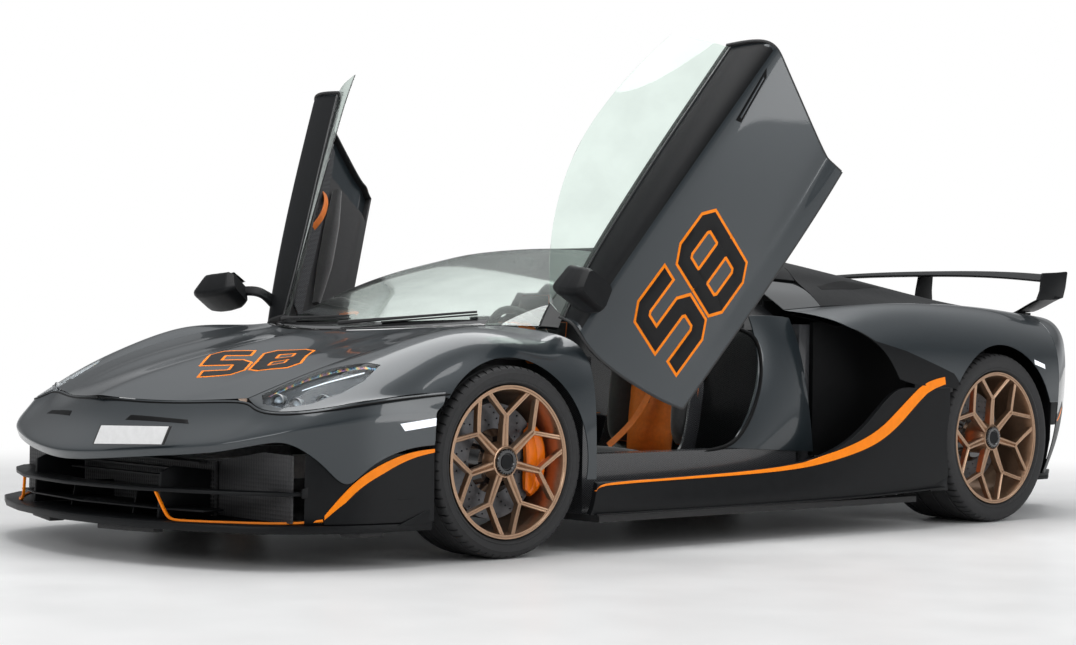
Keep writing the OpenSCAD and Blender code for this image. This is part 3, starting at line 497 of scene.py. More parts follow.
# the mesh's holes are not cut: their dark colour is painted shade of what lies behind
HOLE_SHADE_MESH = punched("black_mesh", (0.02, 0.02, 0.021), 0.014)
PLATE_WHITE = finish("plate_white", (0.78, 0.78, 0.78), 0.35, vary=0.03, scale=50)
LAMP_WHITE = glow("lamp_white", (0.9, 0.93, 1.0), 0.35)
RED_LENS = finish("red_lens", (0.30, 0.006, 0.006), 0.12, coat=1.0, vary=0.15, scale=120, rough_vary=0.04)
COVER_GLASS = clear("lamp_cover_glass", (0.82, 0.86, 0.88))
COVER_GLASS.node_tree.nodes["Principled BSDF"].inputs["IOR"].default_value = 1.14
LAMP_INNER = finish("lamp_inner", (0.008, 0.011, 0.016), 0.3, vary=0.3, scale=60, specular=0.3)
MIRROR = finish("silvering", (0.75, 0.77, 0.78), 0.04, metal=1.0, vary=0.03, scale=8, rough_vary=0.01)
print(len(bpy.data.materials), "finishes")

# %% [markdown]
# Some pieces are cut from plate or moulded with a constant section: an outline drawn up between two levels.
# Others follow a line: seals, straps, wiper arms. `prism` and `sweep` make those two kinds.
# A real edge is never knife-sharp, so both can round their corners, and a thin highlight runs along them.

# %% Plates and swept pieces
AXES = {"x": (1, 2, 0), "y": (0, 2, 1), "z": (0, 1, 2)}


def prism_mesh(outline, along, low, high):
    """Outline in mm drawn along one axis: (behind, up) along x, (out, up) along y, (out, behind) along z."""
    outline = np.asarray(outline, float)
    n = len(outline)
    a, b, c = AXES[along]
    verts = np.zeros((2 * n, 3))
    verts[:n, a] = verts[n:, a] = outline[:, 0]
    verts[:n, b] = verts[n:, b] = outline[:, 1]
    verts[:n, c], verts[n:, c] = low, high
    k = np.arange(n)
    m = (k + 1) % n
    return mm(verts), [list(q) for q in np.stack([k, m, m + n, k + n], -1)] + [list(k[::-1]), list(k + n)]


def soften(piece, width, segments=2, angle=30):
    """Rounds the edges that are sharper than an angle."""
    bm = bmesh.new()
    bm.from_mesh(piece.data)
    edges = [e for e in bm.edges if len(e.link_faces) == 2 and e.calc_face_angle(0) > math.radians(angle)]
    bmesh.ops.bevel(bm, geom=edges, offset=width * MM, segments=segments, profile=0.5, affect="EDGES",
        clamp_overlap=True)
    bm.to_mesh(piece.data)
    bm.free()
    piece.data.shade_smooth()
    piece.data.set_sharp_from_angle(angle=math.radians(40))
    return piece


def prism(name, outline, along, low, high, material, body="body", slot="black_panel", side=1, bevel=2.0):
    verts, faces = prism_mesh(outline, along, low, high)
    piece = add_mesh(name, verts * [side, 1, 1], faces, material, body, slot)
    return soften(piece, bevel) if bevel else piece


def mirrored(outline):
    """A plan drawn from the centre plane outwards and back to it, made whole."""
    return [list(p) for p in outline] + [[-p[0], p[1]] for p in outline[::-1] if p[0]]


def rounded(half_u, half_v, corner=0.5, count=4):
    """A rounded rectangle section in mm."""
    r = min(half_u, half_v) * corner
    pts = []
    for cx, cy, start in ((1, 1, 0), (-1, 1, 90), (-1, -1, 180), (1, -1, 270)):
        for a in np.radians(np.linspace(start, start + 90, count)):
            pts.append([cx * (half_u - r) + r * math.cos(a), cy * (half_v - r) + r * math.sin(a)])
    return np.array(pts)


def sweep(name, points, section, material, body="body", slot=None, side=1, steps=6, up=(0, 0, 1), grow=None,
        closed=False, sharp=40):
    """A section (across, up) in mm carried along a line of points; `grow` scales it from end to end."""
    line = mm(smooth_line(points, steps) if steps else points)
    t = np.roll(line, -1, 0) - np.roll(line, 1, 0) if closed else np.gradient(line, axis=0)
    t = unit(t)
    across = unit(np.cross(t, np.asarray(up, float)))
    over = np.cross(across, t)
    k = np.ones(len(line)) if grow is None else np.interp(np.linspace(0, 1, len(line)),
        np.linspace(0, 1, len(grow)), grow)
    s = np.asarray(section, float) * MM
    verts = (line[:, None] + (k[:, None] * s[None, :, 0])[..., None] * across[:, None]
        + (k[:, None] * s[None, :, 1])[..., None] * over[:, None])
    n, m = verts.shape[:2]
    i, j = np.meshgrid(np.arange(n if closed else n - 1), np.arange(m), indexing="ij")
    p, q = (i + 1) % n, (j + 1) % m
    faces = [list(f) for f in np.stack([i * m + j, i * m + q, p * m + q, p * m + j], -1).reshape(-1, 4)]
    if not closed:
        faces += [list(range(m)), list(range(n * m - 1, n * m - 1 - m, -1))]
    return add_mesh(name, verts.reshape(-1, 3) * [side, 1, 1], faces, material, body, slot, sharp)


def disc_section(radius, count=12):
    a = np.linspace(0, 2 * np.pi, count, endpoint=False)
    return radius * np.column_stack([np.cos(a), np.sin(a)])


# %% [markdown]
# Stripes, vents and badges are thin skins that lie on a panel. Their points are first drawn roughly in space,
# then each is dropped onto the nearest place of the panel's mesh with a BVH tree, and lifted by half a
# millimetre. A texture would need an unwrapped panel; this needs only the mesh, and has a real edge.

# %% Skins that lie on a panel
from mathutils.bvhtree import BVHTree


def skin_of(*names):
    verts, faces = [], []
    for name in names:
        mesh = PIECES[name].data
        start = len(verts)
        verts += [v.co.copy() for v in mesh.vertices]
        faces += [[start + i for i in p.vertices] for p in mesh.polygons]
    return BVHTree.FromPolygons(verts, faces)


def dropped(grid, skin, lift, towards=None):
    """Grid points moved onto a skin (the nearest place, or along a direction) and lifted off it."""
    shape = grid.shape
    out = []
    for p in grid.reshape(-1, 3):
        hit = skin.ray_cast(Vector(p), Vector(towards)) if towards is not None else skin.find_nearest(Vector(p))
        if hit[0] is None:
            hit = skin.find_nearest(Vector(p))
        n = np.array(hit[1])
        n *= -np.sign(n @ inward(np.array(hit[0]))) or 1
        out.append(np.array(hit[0]) + lift * MM * n)
    return np.array(out).reshape(shape)


def add_skin(name, grid, skin, material, body="body", slot="paint", lift=0.6, towards=None, thick=1.0, even=0):
    g = dropped(grid, skin, lift, towards)
    for _ in range(even):
        g[1:-1] = (g[:-2] + 2 * g[1:-1] + g[2:]) / 4
    verts, faces = panel_mesh(g, (0, 0, 0, 0), thick * MM, bevel=0.25 * MM)
    return add_mesh(name, verts, faces, material, body, slot, 40)


def ribbon_grid(line, width, skin, towards=None):
    """Rows across a line that lies on a skin; width is a list of values from end to end, in mm."""
    line = dropped(line, skin, 0, towards)
    normal = dropped(line, skin, 10) - line
    across = unit(np.cross(unit(np.gradient(line, axis=0)), unit(normal)))
    w = np.interp(np.linspace(0, 1, len(line)), np.linspace(0, 1, len(width)), width) * MM / 2
    return line[:, None] + np.linspace(-1, 1, 5)[None, :, None] * (across * w[:, None])[:, None]


def ribbon(name, points, width, skin, material=None, body="body", side=1, steps=10, lift=0.6, slot="paint",
        towards=None, even=0):
    line = mm(smooth_line(points, steps)) * [side, 1, 1]
    return add_skin(name, ribbon_grid(line, width, skin, towards), skin, material or ORANGE, body, slot, lift,
        even=even)


def patch_grid(corners, rows=8, cols=8):
    """Even grid between four corners, in order round the patch."""
    a, b, c, d = mm(corners)
    u, v = np.linspace(0, 1, rows)[:, None, None], np.linspace(0, 1, cols)[None, :, None]
    return (1 - u) * ((1 - v) * a + v * b) + u * ((1 - v) * d + v * c)


print("tools ready")
# %% [markdown]
# The outer body is drawn first, because every other piece is placed against it.
# The nets below go from the nose to the tail. A row or column of a net is one character line of the
# body, such as the crest of the fender or the crease of the shoulder. Each point reads out, behind, up.
# Panels that run on into each other share points along their common edge, so the shut line is even.

# %% Nets of the nose
HOOD_NET = net("""
    0 -1020 540, 60 -1015 535, 200 -985 530, 330 -945 529, 400 -915 531, 480 -885 536, 622 -834 545 /
    0 -850 606, 60 -846 603, 220 -822 590, 350 -785 591, 435 -755 601, 510 -730 600, 655 -690 605 /
    0 -650 663, 60 -646 659, 230 -616 648, 370 -574 654, 455 -548 671, 535 -528 668, 690 -480 682 /
    0 -450 710, 60 -444 706, 235 -398 696, 375 -338 706, 465 -300 728, 550 -275 725, 705 -220 748 /
    0 -280 747, 60 -270 744, 235 -208 738, 370 -148 748, 460 -108 766, 545 -70 766, 690 0 783 /
    0 -120 771, 60 -110 771, 230 -70 774, 360 -18 780, 450 30 787, 530 66 790, 660 125 797""")
FRONT_FENDER_NET = net("""
    622 -834 545, 680 -850 523, 740 -850 508, 800 -825 506, 850 -780 511, 890 -730 520, 925 -670 532, 952 -605 545 /
    655 -690 605, 715 -680 612, 775 -660 613, 830 -630 610, 880 -590 603, 922 -545 593, 955 -495 580, 978 -450 563 /
    690 -480 682, 750 -455 697, 810 -430 702, 865 -400 697, 910 -370 680, 950 -340 652, 977 -315 617, 991 -300 577 /
    705 -220 748, 768 -190 776, 835 -155 792, 895 -120 782, 945 -95 745, 978 -80 680, 992 -80 570, 995 -80 440 /
    690 0 783, 765 20 795, 838 45 790, 900 70 765, 950 95 715, 982 115 620, 992 125 480, 993 130 340 /
    660 125 797, 748 175 790, 825 215 770, 888 245 740, 940 262 690, 975 280 590, 988 290 430, 989 295 256 /
    700 185 797, 795 280 785, 870 335 765, 925 365 735, 962 385 680, 982 397 570, 987 400 410, 986 402 256""")
BUMPER_NET = [[[0, -1020, 540], [200, -985, 530], [400, -915, 531]] + FRONT_FENDER_NET[0]
    + [[978, -450, 563], [991, -297, 574]]] + net("""
    0 -1040 496, 202 -1008 492, 407 -945 490, 622 -872 492, 690 -875 482, 752 -868 482, 812 -836 484, 864 -790 492,
        905 -737 503, 936 -674 515, 960 -605 527, 983 -455 540, 994 -300 536 /
    0 -1072 440, 204 -1044 440, 412 -992 444, 628 -922 450, 704 -912 452, 768 -888 455, 828 -845 462, 876 -796 475,
        915 -738 487, 944 -673 499, 966 -604 510, 987 -457 522, 998 -320 522 /
    0 -1170 356, 205 -1139 366, 415 -1082 382, 636 -993 400, 716 -952 413, 786 -904 428, 843 -851 444, 888 -798 461,
        924 -738 471, 951 -670 483, 971 -602 493, 991 -457 503, 1002 -342 509 /
    0 -1168 346, 205 -1137 356, 415 -1080 372, 636 -991 390, 716 -950 403, 786 -902 418, 843 -849 434, 888 -796 450,
        924 -736 455, 951 -668 460, 971 -600 474, 991 -455 488, 1002 -343 496 /
    0 -1156 318, 205 -1126 333, 415 -1070 350, 635 -983 367, 713 -943 384, 783 -897 400, 839 -846 414, 884 -794 384,
        921 -734 332, 948 -667 245, 969 -600 335, 990 -455 390, 1001 -345 396""")

# %% Nets of the doors and cabin
DOOR_NET = net("""
    986 449 271, 986 440 305, 986 432 340, 986 424 385, 986 412 480, 985 405 590, 980 412 720, 948 455 790,
        905 452 797, 850 450 800 /
    987 640 275, 987 640 312, 986 640 350, 987 640 395, 986 640 500, 985 638 610, 980 634 745, 960 632 802,
        890 630 820, 815 630 830 /
    987 880 280, 984 880 318, 981 880 355, 984 880 400, 984 880 505, 984 880 620, 981 880 755, 968 880 812,
        885 880 836, 800 880 845 /
    986 1120 288, 980 1120 327, 972 1120 362, 979 1120 405, 980 1120 510, 981 1120 628, 980 1120 762, 970 1120 820,
        882 1120 846, 792 1120 858 /
    984 1340 300, 974 1345 340, 961 1350 375, 970 1356 408, 973 1368 512, 975 1385 630, 975 1400 766, 968 1408 826,
        880 1395 854, 785 1380 866 /
    978 1484 311, 970 1487 352, 954 1492 385, 964 1497 412, 966 1540 515, 967 1590 630, 967 1650 770, 965 1680 828,
        880 1645 858, 778 1601 872""")
DOOR_GLASS_NET = net("""
    850 450 800, 818 460 828, 785 470 855 /
    815 630 830, 752 645 902, 684 650 960 /
    800 880 845, 705 885 955, 598 890 1034 /
    792 1120 858, 690 1120 972, 566 1110 1056 /
    785 1380 866, 686 1370 966, 570 1350 1042 /
    778 1601 872, 690 1570 950, 581 1539 1006""")
SCREEN_NET = net("""
    0 -85 775, 260 -35 781, 480 60 791, 650 165 799, 790 295 795 /
    0 170 866, 240 200 868, 440 265 872, 590 330 875, 715 400 873 /
    0 450 958, 215 470 958, 390 500 958, 530 525 957, 640 545 953 /
    0 720 1044, 190 730 1042, 345 735 1038, 465 730 1031, 565 712 1020 /
    0 965 1112, 165 960 1108, 300 950 1101, 410 930 1090, 500 900 1071""")
PILLAR_NET = net("""
    790 295 795, 815 318 795, 838 345 790 /
    715 400 873, 745 418 870, 772 440 862 /
    640 545 953, 675 560 952, 702 580 942 /
    565 712 1020, 605 725 1020, 628 740 1006 /
    500 900 1071, 535 905 1066, 556 912 1050""")
ROOF_NET = [SCREEN_NET[-1] + PILLAR_NET[-1][1:]] + net("""
    0 1130 1117, 165 1130 1119, 300 1125 1122, 410 1120 1114, 490 1110 1094, 528 1108 1078, 548 1105 1060 /
    0 1400 1117, 165 1400 1124, 300 1400 1140, 410 1400 1136, 492 1400 1100, 530 1398 1074, 552 1395 1046 /
    0 1650 1107, 165 1650 1118, 300 1650 1131, 410 1650 1125, 500 1650 1088, 545 1645 1050, 572 1640 1012 /
    0 1900 1085, 165 1900 1098, 300 1900 1108, 410 1900 1098, 510 1893 1068, 560 1886 1034, 592 1880 1000""")
QUARTER_NET = net("""
    581 1547 1003, 690 1578 947, 772 1612 876 /
    588 1700 998, 688 1715 950, 760 1730 884 /
    592 1880 992, 675 1880 950, 735 1880 895""")

# %% Nets of the tail and sills
BUTTRESS_NET = [ROOF_NET[-1][3:] + [[675, 1880, 950], [735, 1880, 895]]] + net("""
    400 2130 1072, 500 2125 1050, 555 2125 1018, 590 2125 985, 650 2128 945, 705 2130 905 /
    395 2430 1030, 490 2430 1015, 545 2430 985, 580 2430 955, 630 2430 930, 675 2430 912 /
    390 2720 985, 480 2720 975, 535 2720 955, 575 2720 938, 618 2720 923, 655 2720 915 /
    385 2980 940, 470 2980 938, 530 2980 930, 575 2980 922, 615 2980 916, 650 2980 912 /
    385 3230 905, 470 3230 905, 530 3230 903, 580 3230 900, 622 3230 898, 660 3230 895""")
COVER_NET = net("""
    0 1950 1077, 150 1950 1085, 280 1950 1095, 392 1950 1091 /
    0 2200 1045, 150 2200 1052, 280 2200 1060, 385 2200 1062 /
    0 2500 1000, 150 2500 1005, 280 2500 1012, 382 2500 1019 /
    0 2800 955, 150 2800 958, 280 2800 964, 378 2800 972 /
    0 3050 915, 150 3050 917, 280 3050 922, 375 3050 929""")
REAR_FENDER_NET = net("""
    772 1612 876, 850 1645 866, 920 1678 850, 972 1705 832, 1012 1790 795, 1038 1890 742, 1045 1955 675,
        1045 2005 605 /
    735 1880 895, 830 1880 898, 905 1890 893, 962 1910 870, 1005 1955 822, 1035 2010 755, 1047 2070 670,
        1047 2140 572 /
    705 2130 905, 795 2140 915, 880 2150 917, 945 2165 900, 995 2195 850, 1030 2235 775, 1048 2280 680,
        1049 2330 580 /
    675 2430 912, 765 2430 920, 855 2435 920, 930 2440 900, 988 2455 850, 1028 2480 770, 1048 2510 660,
        1049 2540 520 /
    655 2720 915, 745 2720 918, 835 2720 914, 915 2720 892, 978 2720 840, 1020 2725 760, 1044 2735 650,
        1047 2745 500 /
    650 2980 912, 735 2980 910, 820 2980 898, 898 2975 872, 960 2970 820, 1003 2965 745, 1030 2960 640,
        1036 2960 500 /
    660 3230 895, 738 3225 888, 812 3215 872, 880 3200 842, 935 3185 795, 975 3170 735, 1000 3155 640, 1008 3140 500""")
REAR_CORNER_NET = [REAR_FENDER_NET[-1] + [[1000, 3125, 340], [968, 3085, 190]]] + net("""
    660 3340 888, 732 3335 882, 798 3318 865, 860 3298 838, 910 3278 792, 946 3258 735, 966 3238 640, 972 3218 500,
        962 3200 340, 930 3160 188 /
    650 3450 880, 715 3440 873, 770 3425 855, 820 3402 825, 862 3376 785, 892 3350 735, 902 3345 640, 897 3340 495,
        880 3330 340, 860 3260 188""")
CORNER_NET = net("""
    913 -731 176, 943 -672 255, 965 -601 318, 986 -458 378, 998 -348 386 /
    916 -733 162, 946 -671 205, 968 -600 238, 988 -457 265, 999 -347 270 /
    918 -735 146.5, 948 -670 146.5, 970 -600 146.5, 990 -457 146.5, 1000 -347 146.5""")
SKIRT_NET = net("""
    986 403 246, 1005 640 250, 1008 904 256, 1012 1250 266, 1024 1500 290, 1036 1690 352, 1044 1835 450,
        1046 1990 595, 1048 2150 561, 1048 2330 569 /
    1002 380 205, 1022 640 208, 1026 904 212, 1028 1250 216, 1034 1500 226, 1042 1700 270, 1047 1850 340,
        1049 2000 440, 1049 2150 420, 1048 2330 430 /
    1008 365 165, 1034 640 168, 1038 904 170, 1040 1250 172, 1043 1500 178, 1046 1710 200, 1048 1860 240,
        1049 2010 270, 1049 2150 270, 1048 2330 290 /
    1000 355 132, 1030 640 134, 1036 904 135, 1038 1250 136, 1040 1500 138, 1042 1710 141, 1044 1865 145,
        1043 2015 149, 1042 2150 152, 1035 2330 153""")
print("nets ready")

# %% [markdown]
# The doors are stored open, so their nets are drawn shut and then swung about the hinge line.
# The hinge line leans inwards and forwards, which is why the door rises and also swings away.

# %% Door swing
HINGE = JOINTS["door_left_swing"]
HINGE_AT = np.array(HINGE["pos_m"])
HINGE_AXIS = np.array(HINGE["axis"], float) / np.linalg.norm(HINGE["axis"])
OPEN_ANGLE = math.radians(-HINGE["range_deg"][0])
SWING = np.array(Matrix.Rotation(OPEN_ANGLE, 3, Vector(HINGE_AXIS)))


def swung(p):
    """Points of the left door from its shut place to its open place."""
    return (np.asarray(p) - HINGE_AT) @ SWING.T + HINGE_AT


def on_door(piece):
    """Swings a piece made in the shut place on the left side (or its mirror image) to the open place."""
    co = np.array([v.co for v in piece.data.vertices])
    s = np.sign(co[:, 0].mean())
    co = swung(co * [s, 1, 1]) * [s, 1, 1]
    piece.data.vertices.foreach_set("co", co.ravel())
    piece.data.update()
    return piece


print("doors stand open at", round(math.degrees(OPEN_ANGLE), 1), "degrees")

# %% [markdown]
# Wheel arches are cut with a cylinder that is round the wheel's own axis, so the gap to the tyre is even.

# %% Arch cutters
def cylinder_x(name, y, z, radius, x0, x1, segments=128):
    a = np.linspace(0, 2 * np.pi, segments, endpoint=False)
    ring = np.stack([0 * a, y + radius * np.cos(a), z + radius * np.sin(a)], -1)
    verts = np.concatenate([ring + [x0, 0, 0], ring + [x1, 0, 0]])
    k = np.arange(segments)
    n = (k + 1) % segments
    faces = [list(q) for q in np.stack([k, n, n + segments, k + segments], -1)]
    faces += [list(k[::-1]), list(k + segments)]
    return helper_mesh(name, verts, faces)


WHEELS = {}
for end in ("front", "rear"):
    for hand, s in SIDES:
        at = np.array(JOINTS[f"spin_{end}_{hand}"]["pos_m"])
        low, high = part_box(f"tyre_{end}_{hand}")
        WHEELS[end, hand] = {"at": at, "radius": at[2] - low[2], "width": high[0] - low[0], "side": s}
FRONT_ARCH = WHEELS["front", "left"]["radius"] + 27 * MM
REAR_ARCH = WHEELS["rear", "left"]["radius"] + 37 * MM


def arch_cutter(end, hand, extra=0.0):
    w = WHEELS[end, hand]
    radius = (FRONT_ARCH if end == "front" else REAR_ARCH) + extra
    x = sorted((w["side"] * 0.45, w["side"] * 1.4))
    return cylinder_x("arch", w["at"][1], w["at"][2], radius, *x)


print("arch radii", FRONT_ARCH, REAR_ARCH)

# %% [markdown]
# Now the painted panels: the lid, the fenders, the nose skin, the doors and the tail corners.

# %% Painted panels
hood = add_panel("hood", whole(HOOD_NET), PAINT, "hood", steps=10)
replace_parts(hood, "hood")
bumper = add_panel("nose_skin", whole(BUMPER_NET), PAINT, "body", steps=6)
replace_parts(bumper, "front_bumper")
lamp_outline = [[650, -798], [704, -830], [786, -812], [846, -744], [880, -642], [886, -560], [864, -474],
    [822, -500], [702, -622], [668, -715]]


def lamp_cutter(s, grow=0.0):
    outline = np.array(lamp_outline, float)
    centre = outline.mean(0)
    outline = centre + (outline - centre) * (1 + grow)
    ring = mm(np.column_stack([outline, np.zeros(len(outline))]))
    k = np.arange(len(ring))
    n = (k + 1) % len(ring)
    top = ring + [0, 0, 1.2]
    verts = np.concatenate([ring, top]) * [s, 1, 1]
    faces = [list(q) for q in np.stack([k, n, n + len(ring), k + len(ring)], -1)]
    faces += [list(k[::-1]), list(k + len(ring))]
    return helper_mesh("lamp_hole", verts, faces)


arch = {key: arch_cutter(*key) for key in WHEELS}
cut(bumper, arch["front", "left"], arch["front", "right"])
for hand, s in SIDES:
    fender = add_panel(f"front_fender_{hand}", FRONT_FENDER_NET, PAINT, side=s, steps=10)
    hole = lamp_cutter(s)
    cut(fender, arch["front", hand], hole)
    drop(hole)
    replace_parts(fender, f"front_fender_{hand}")
    door = add_panel(f"door_skin_{hand}", DOOR_NET, PAINT, f"door_{hand}", side=s, steps=10)
    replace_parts(on_door(door), f"door_{hand}")
    quarter = add_panel(f"rear_fender_{hand}", REAR_FENDER_NET, PAINT, side=s, steps=10)
    cut(quarter, arch["rear", hand])
    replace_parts(quarter, f"rear_fender_{hand}")
    corner = add_panel(f"tail_corner_{hand}", REAR_CORNER_NET, PAINT, side=s)
    cut(corner, arch["rear", hand])
    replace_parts(corner, "rear_bumper")
print("painted panels done")

# %% [markdown]
# The roof, windscreen pillars, buttresses, sills and engine cover are bare or satin-black composite.
# They use the same panel maker with another finish, because on the car they are pressed in the same way.

# %% Black panels and glass
roof = add_panel("roof_skin", whole(ROOF_NET), SATIN_BLACK, slot="black_panel", thick=20 * MM)
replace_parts(roof, "cabin_frame")
screen = add_panel("windscreen_glass", whole(SCREEN_NET), GLASS, slot="glass", thick=5 * MM)
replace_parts(screen, "windscreen")
cover = add_panel("engine_cover_panel", whole(COVER_NET), SATIN_BLACK, "engine_cover", "black_panel")
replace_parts(cover, "engine_cover")
for hand, s in SIDES:
    pillar = add_panel(f"pillar_{hand}", PILLAR_NET, SATIN_BLACK, slot="black_panel", side=s, thick=20 * MM)
    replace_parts(pillar, "cabin_frame")
    deck = add_panel(f"buttress_{hand}", BUTTRESS_NET, SATIN_BLACK, slot="black_panel", side=s)
    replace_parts(deck, "rear_deck")
    pane = add_panel(f"quarter_glass_{hand}", QUARTER_NET, DARK_GLASS, slot="glass", side=s)
    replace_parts(pane, "cabin_glass")
    glass = add_panel(f"door_pane_{hand}", DOOR_GLASS_NET, GLASS, f"door_{hand}", "glass", side=s)
    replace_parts(on_door(glass), f"door_glass_{hand}")
    skirt = add_panel(f"sill_{hand}", np.transpose(SKIRT_NET, (1, 0, 2)).tolist(), SATIN_BLACK, slot="black_panel",
        side=s, thick=20 * MM)
    cut(skirt, arch["rear", hand], arch["front", hand])
    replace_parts(skirt, f"side_skirt_{hand}")
print("black panels done")

# %% [markdown]
# ## Wheels
# Everything on a wheel is round its axle, so it is drawn as a half section and revolved.
# A section is a list of (outwards, radius) points. `revolve` can change the section from one angle to the next,
# which is how the tread gets its cut blocks and the caliper its tapered ends, with no modelling by hand.

# %% Revolved pieces
def revolve(sections, at, side, angles, ring=True):
    """Closed sections (outwards, radius) in mm, one for each angle, as vertices and faces round an X axle."""
    s = np.asarray(sections, float) * MM
    n, m = s.shape[:2]
    turn = np.asarray(angles)[:, None]
    verts = np.stack([at[0] + side * s[..., 0], at[1] + s[..., 1] * np.cos(turn),
        at[2] + s[..., 1] * np.sin(turn)], -1).reshape(-1, 3)
    i, j = np.meshgrid(np.arange(n if ring else n - 1), np.arange(m), indexing="ij")
    k, l = (i + 1) % n, (j + 1) % m
    faces = [list(q) for q in np.stack([i * m + j, k * m + j, k * m + l, i * m + l], -1).reshape(-1, 4)]
    if not ring:
        faces += [list(range(m)), [(n - 1) * m + c for c in range(m - 1, -1, -1)]]
    return verts, faces


def around(count):
    return np.linspace(0, 2 * np.pi, count, endpoint=False)


def turned(name, section, at, side, material, body="body", slot=None, count=96, sharp=32):
    verts, faces = revolve([section] * count, at, side, around(count))
    return add_mesh(name, verts, faces, material, body, slot, sharp)


RIM_RADIUS = {"front": 268, "rear": 282}
DISC_RADIUS = {"front": 200, "rear": 190}
DISC_OUT, DISC_THICK = 12, 34
ARMS = 7
for key, w in WHEELS.items():
    low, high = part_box("tyre_%s_%s" % key)
    w["at"] = np.array([(low[0] + high[0]) / 2, w["at"][1], w["at"][2]])
print({"_".join(k): w["at"].round(3).tolist() for k, w in WHEELS.items()})

# %% [markdown]
# The tyre is low and wide. Its sidewall bulges a little over the rim, a raised rib guards the rim,
# and the shoulder turns softly into the tread. Four grooves run round it, and short cuts cross the shoulders.
# The cuts come from four angles for each block: two where the rubber is whole, and two where it is lower.
# All angles lean with the distance from the middle, which gives the tread its arrow pattern.

# %% Tyres
def tyre_section(radius, width, rim, lowered):
    half = width / 2
    wall = [(half - 26, rim - 4), (half - 11, rim + 2), (half - 5, rim + 6), (half - 3, rim + 11),
        (half - 5, rim + 15), (half - 2.5, rim + 24), (half - 0.3, (rim + radius) / 2 + 6),
        (half - 1.5, radius - 24), (half - 5, radius - 14)]
    drop_by = 5 if lowered else 0
    shoulder = [(half - 10, radius - 7 - drop_by * 0.7), (half - 18, radius - 3 - drop_by),
        (half - 30, radius - 1.3 - drop_by), (0.37 * width - 7, radius - 0.8 - drop_by)]
    tread = []
    for g in (0.34 * width, 0.12 * width):
        tread += [(g + 6, radius - 0.6), (g + 4.5, radius - 7), (g - 4.5, radius - 7), (g - 6, radius - 0.3)]
    right = wall + shoulder + tread
    return right + [(-a, r) for a, r in right[::-1]]


BLOCKS = 64
for (end, hand), w in WHEELS.items():
    rim = RIM_RADIUS[end]
    size = (w["radius"] / MM, w["width"] / MM, rim)
    step = 2 * np.pi / BLOCKS
    angles = np.concatenate([[k * step, (k + 0.78) * step, (k + 0.81) * step, (k + 0.97) * step]
        for k in range(BLOCKS)])
    sections = [tyre_section(*size, k % 4 >= 2) for k in range(4 * BLOCKS)]
    lean = 0.16 * np.abs(np.array(sections[0])[:, 0]) / size[1]
    verts, faces = revolve(sections, w["at"], w["side"], angles)
    arm = verts - w["at"]
    turn = np.tile(lean, len(angles))
    y, z = arm[:, 1].copy(), arm[:, 2].copy()
    arm[:, 1] = y * np.cos(turn) - z * np.sin(turn)
    arm[:, 2] = y * np.sin(turn) + z * np.cos(turn)
    tyre = add_mesh(f"tyre_rubber_{end}_{hand}", arm + w["at"], faces, RUBBER, f"wheel_{end}_{hand}", "tyre_rubber")
    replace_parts(tyre, f"tyre_{end}_{hand}")
print("tyres of", BLOCKS, "blocks")

# %% [markdown]
# The rim is forged: a thin barrel with a stepped lip. Seven arms fork into a Y before they reach the lip.
# Each arm is a beam with a groove along its outer face. `beams` lays the same cross section along several
# straight lines, so one mesh holds the whole star, and the face dishes in towards the hub.

# %% Rims
def beam_section(half, groove, deep, thick, edge=2.5):
    return np.array([[-half, -thick], [-half, -edge], [-half + edge, 0], [-groove, 0], [0, -deep], [groove, 0],
        [half - edge, 0], [half, -edge], [half, -thick]])


def beams(at, side, lines, face_out):
    """Beams in a wheel's plane: lines of ((radius, angle, section), (radius, angle, section))."""
    verts, faces = [], []
    for (r0, t0, s0), (r1, t1, s1) in lines:
        a = np.array([r0 * math.cos(t0), r0 * math.sin(t0)])
        b = np.array([r1 * math.cos(t1), r1 * math.sin(t1)])
        along = (b - a) / np.linalg.norm(b - a)
        across = np.array([-along[1], along[0]])
        start = len(verts)
        rows = 7
        for k in range(rows):
            f = k / (rows - 1)
            p, s = a + f * (b - a), s0 + f * (s1 - s0)
            out = face_out(np.linalg.norm(p))
            for u, v in s:
                q = p + u * across
                verts.append([at[0] + side * (out + v) * MM, at[1] + q[0] * MM, at[2] + q[1] * MM])
        m = len(s0)
        for k in range(rows - 1):
            for j in range(m):
                faces.append([start + k * m + j, start + k * m + (j + 1) % m, start + (k + 1) * m + (j + 1) % m,
                    start + (k + 1) * m + j])
        faces += [list(range(start, start + m)), list(range(len(verts) - 1, len(verts) - 1 - m, -1))]
    return verts, faces


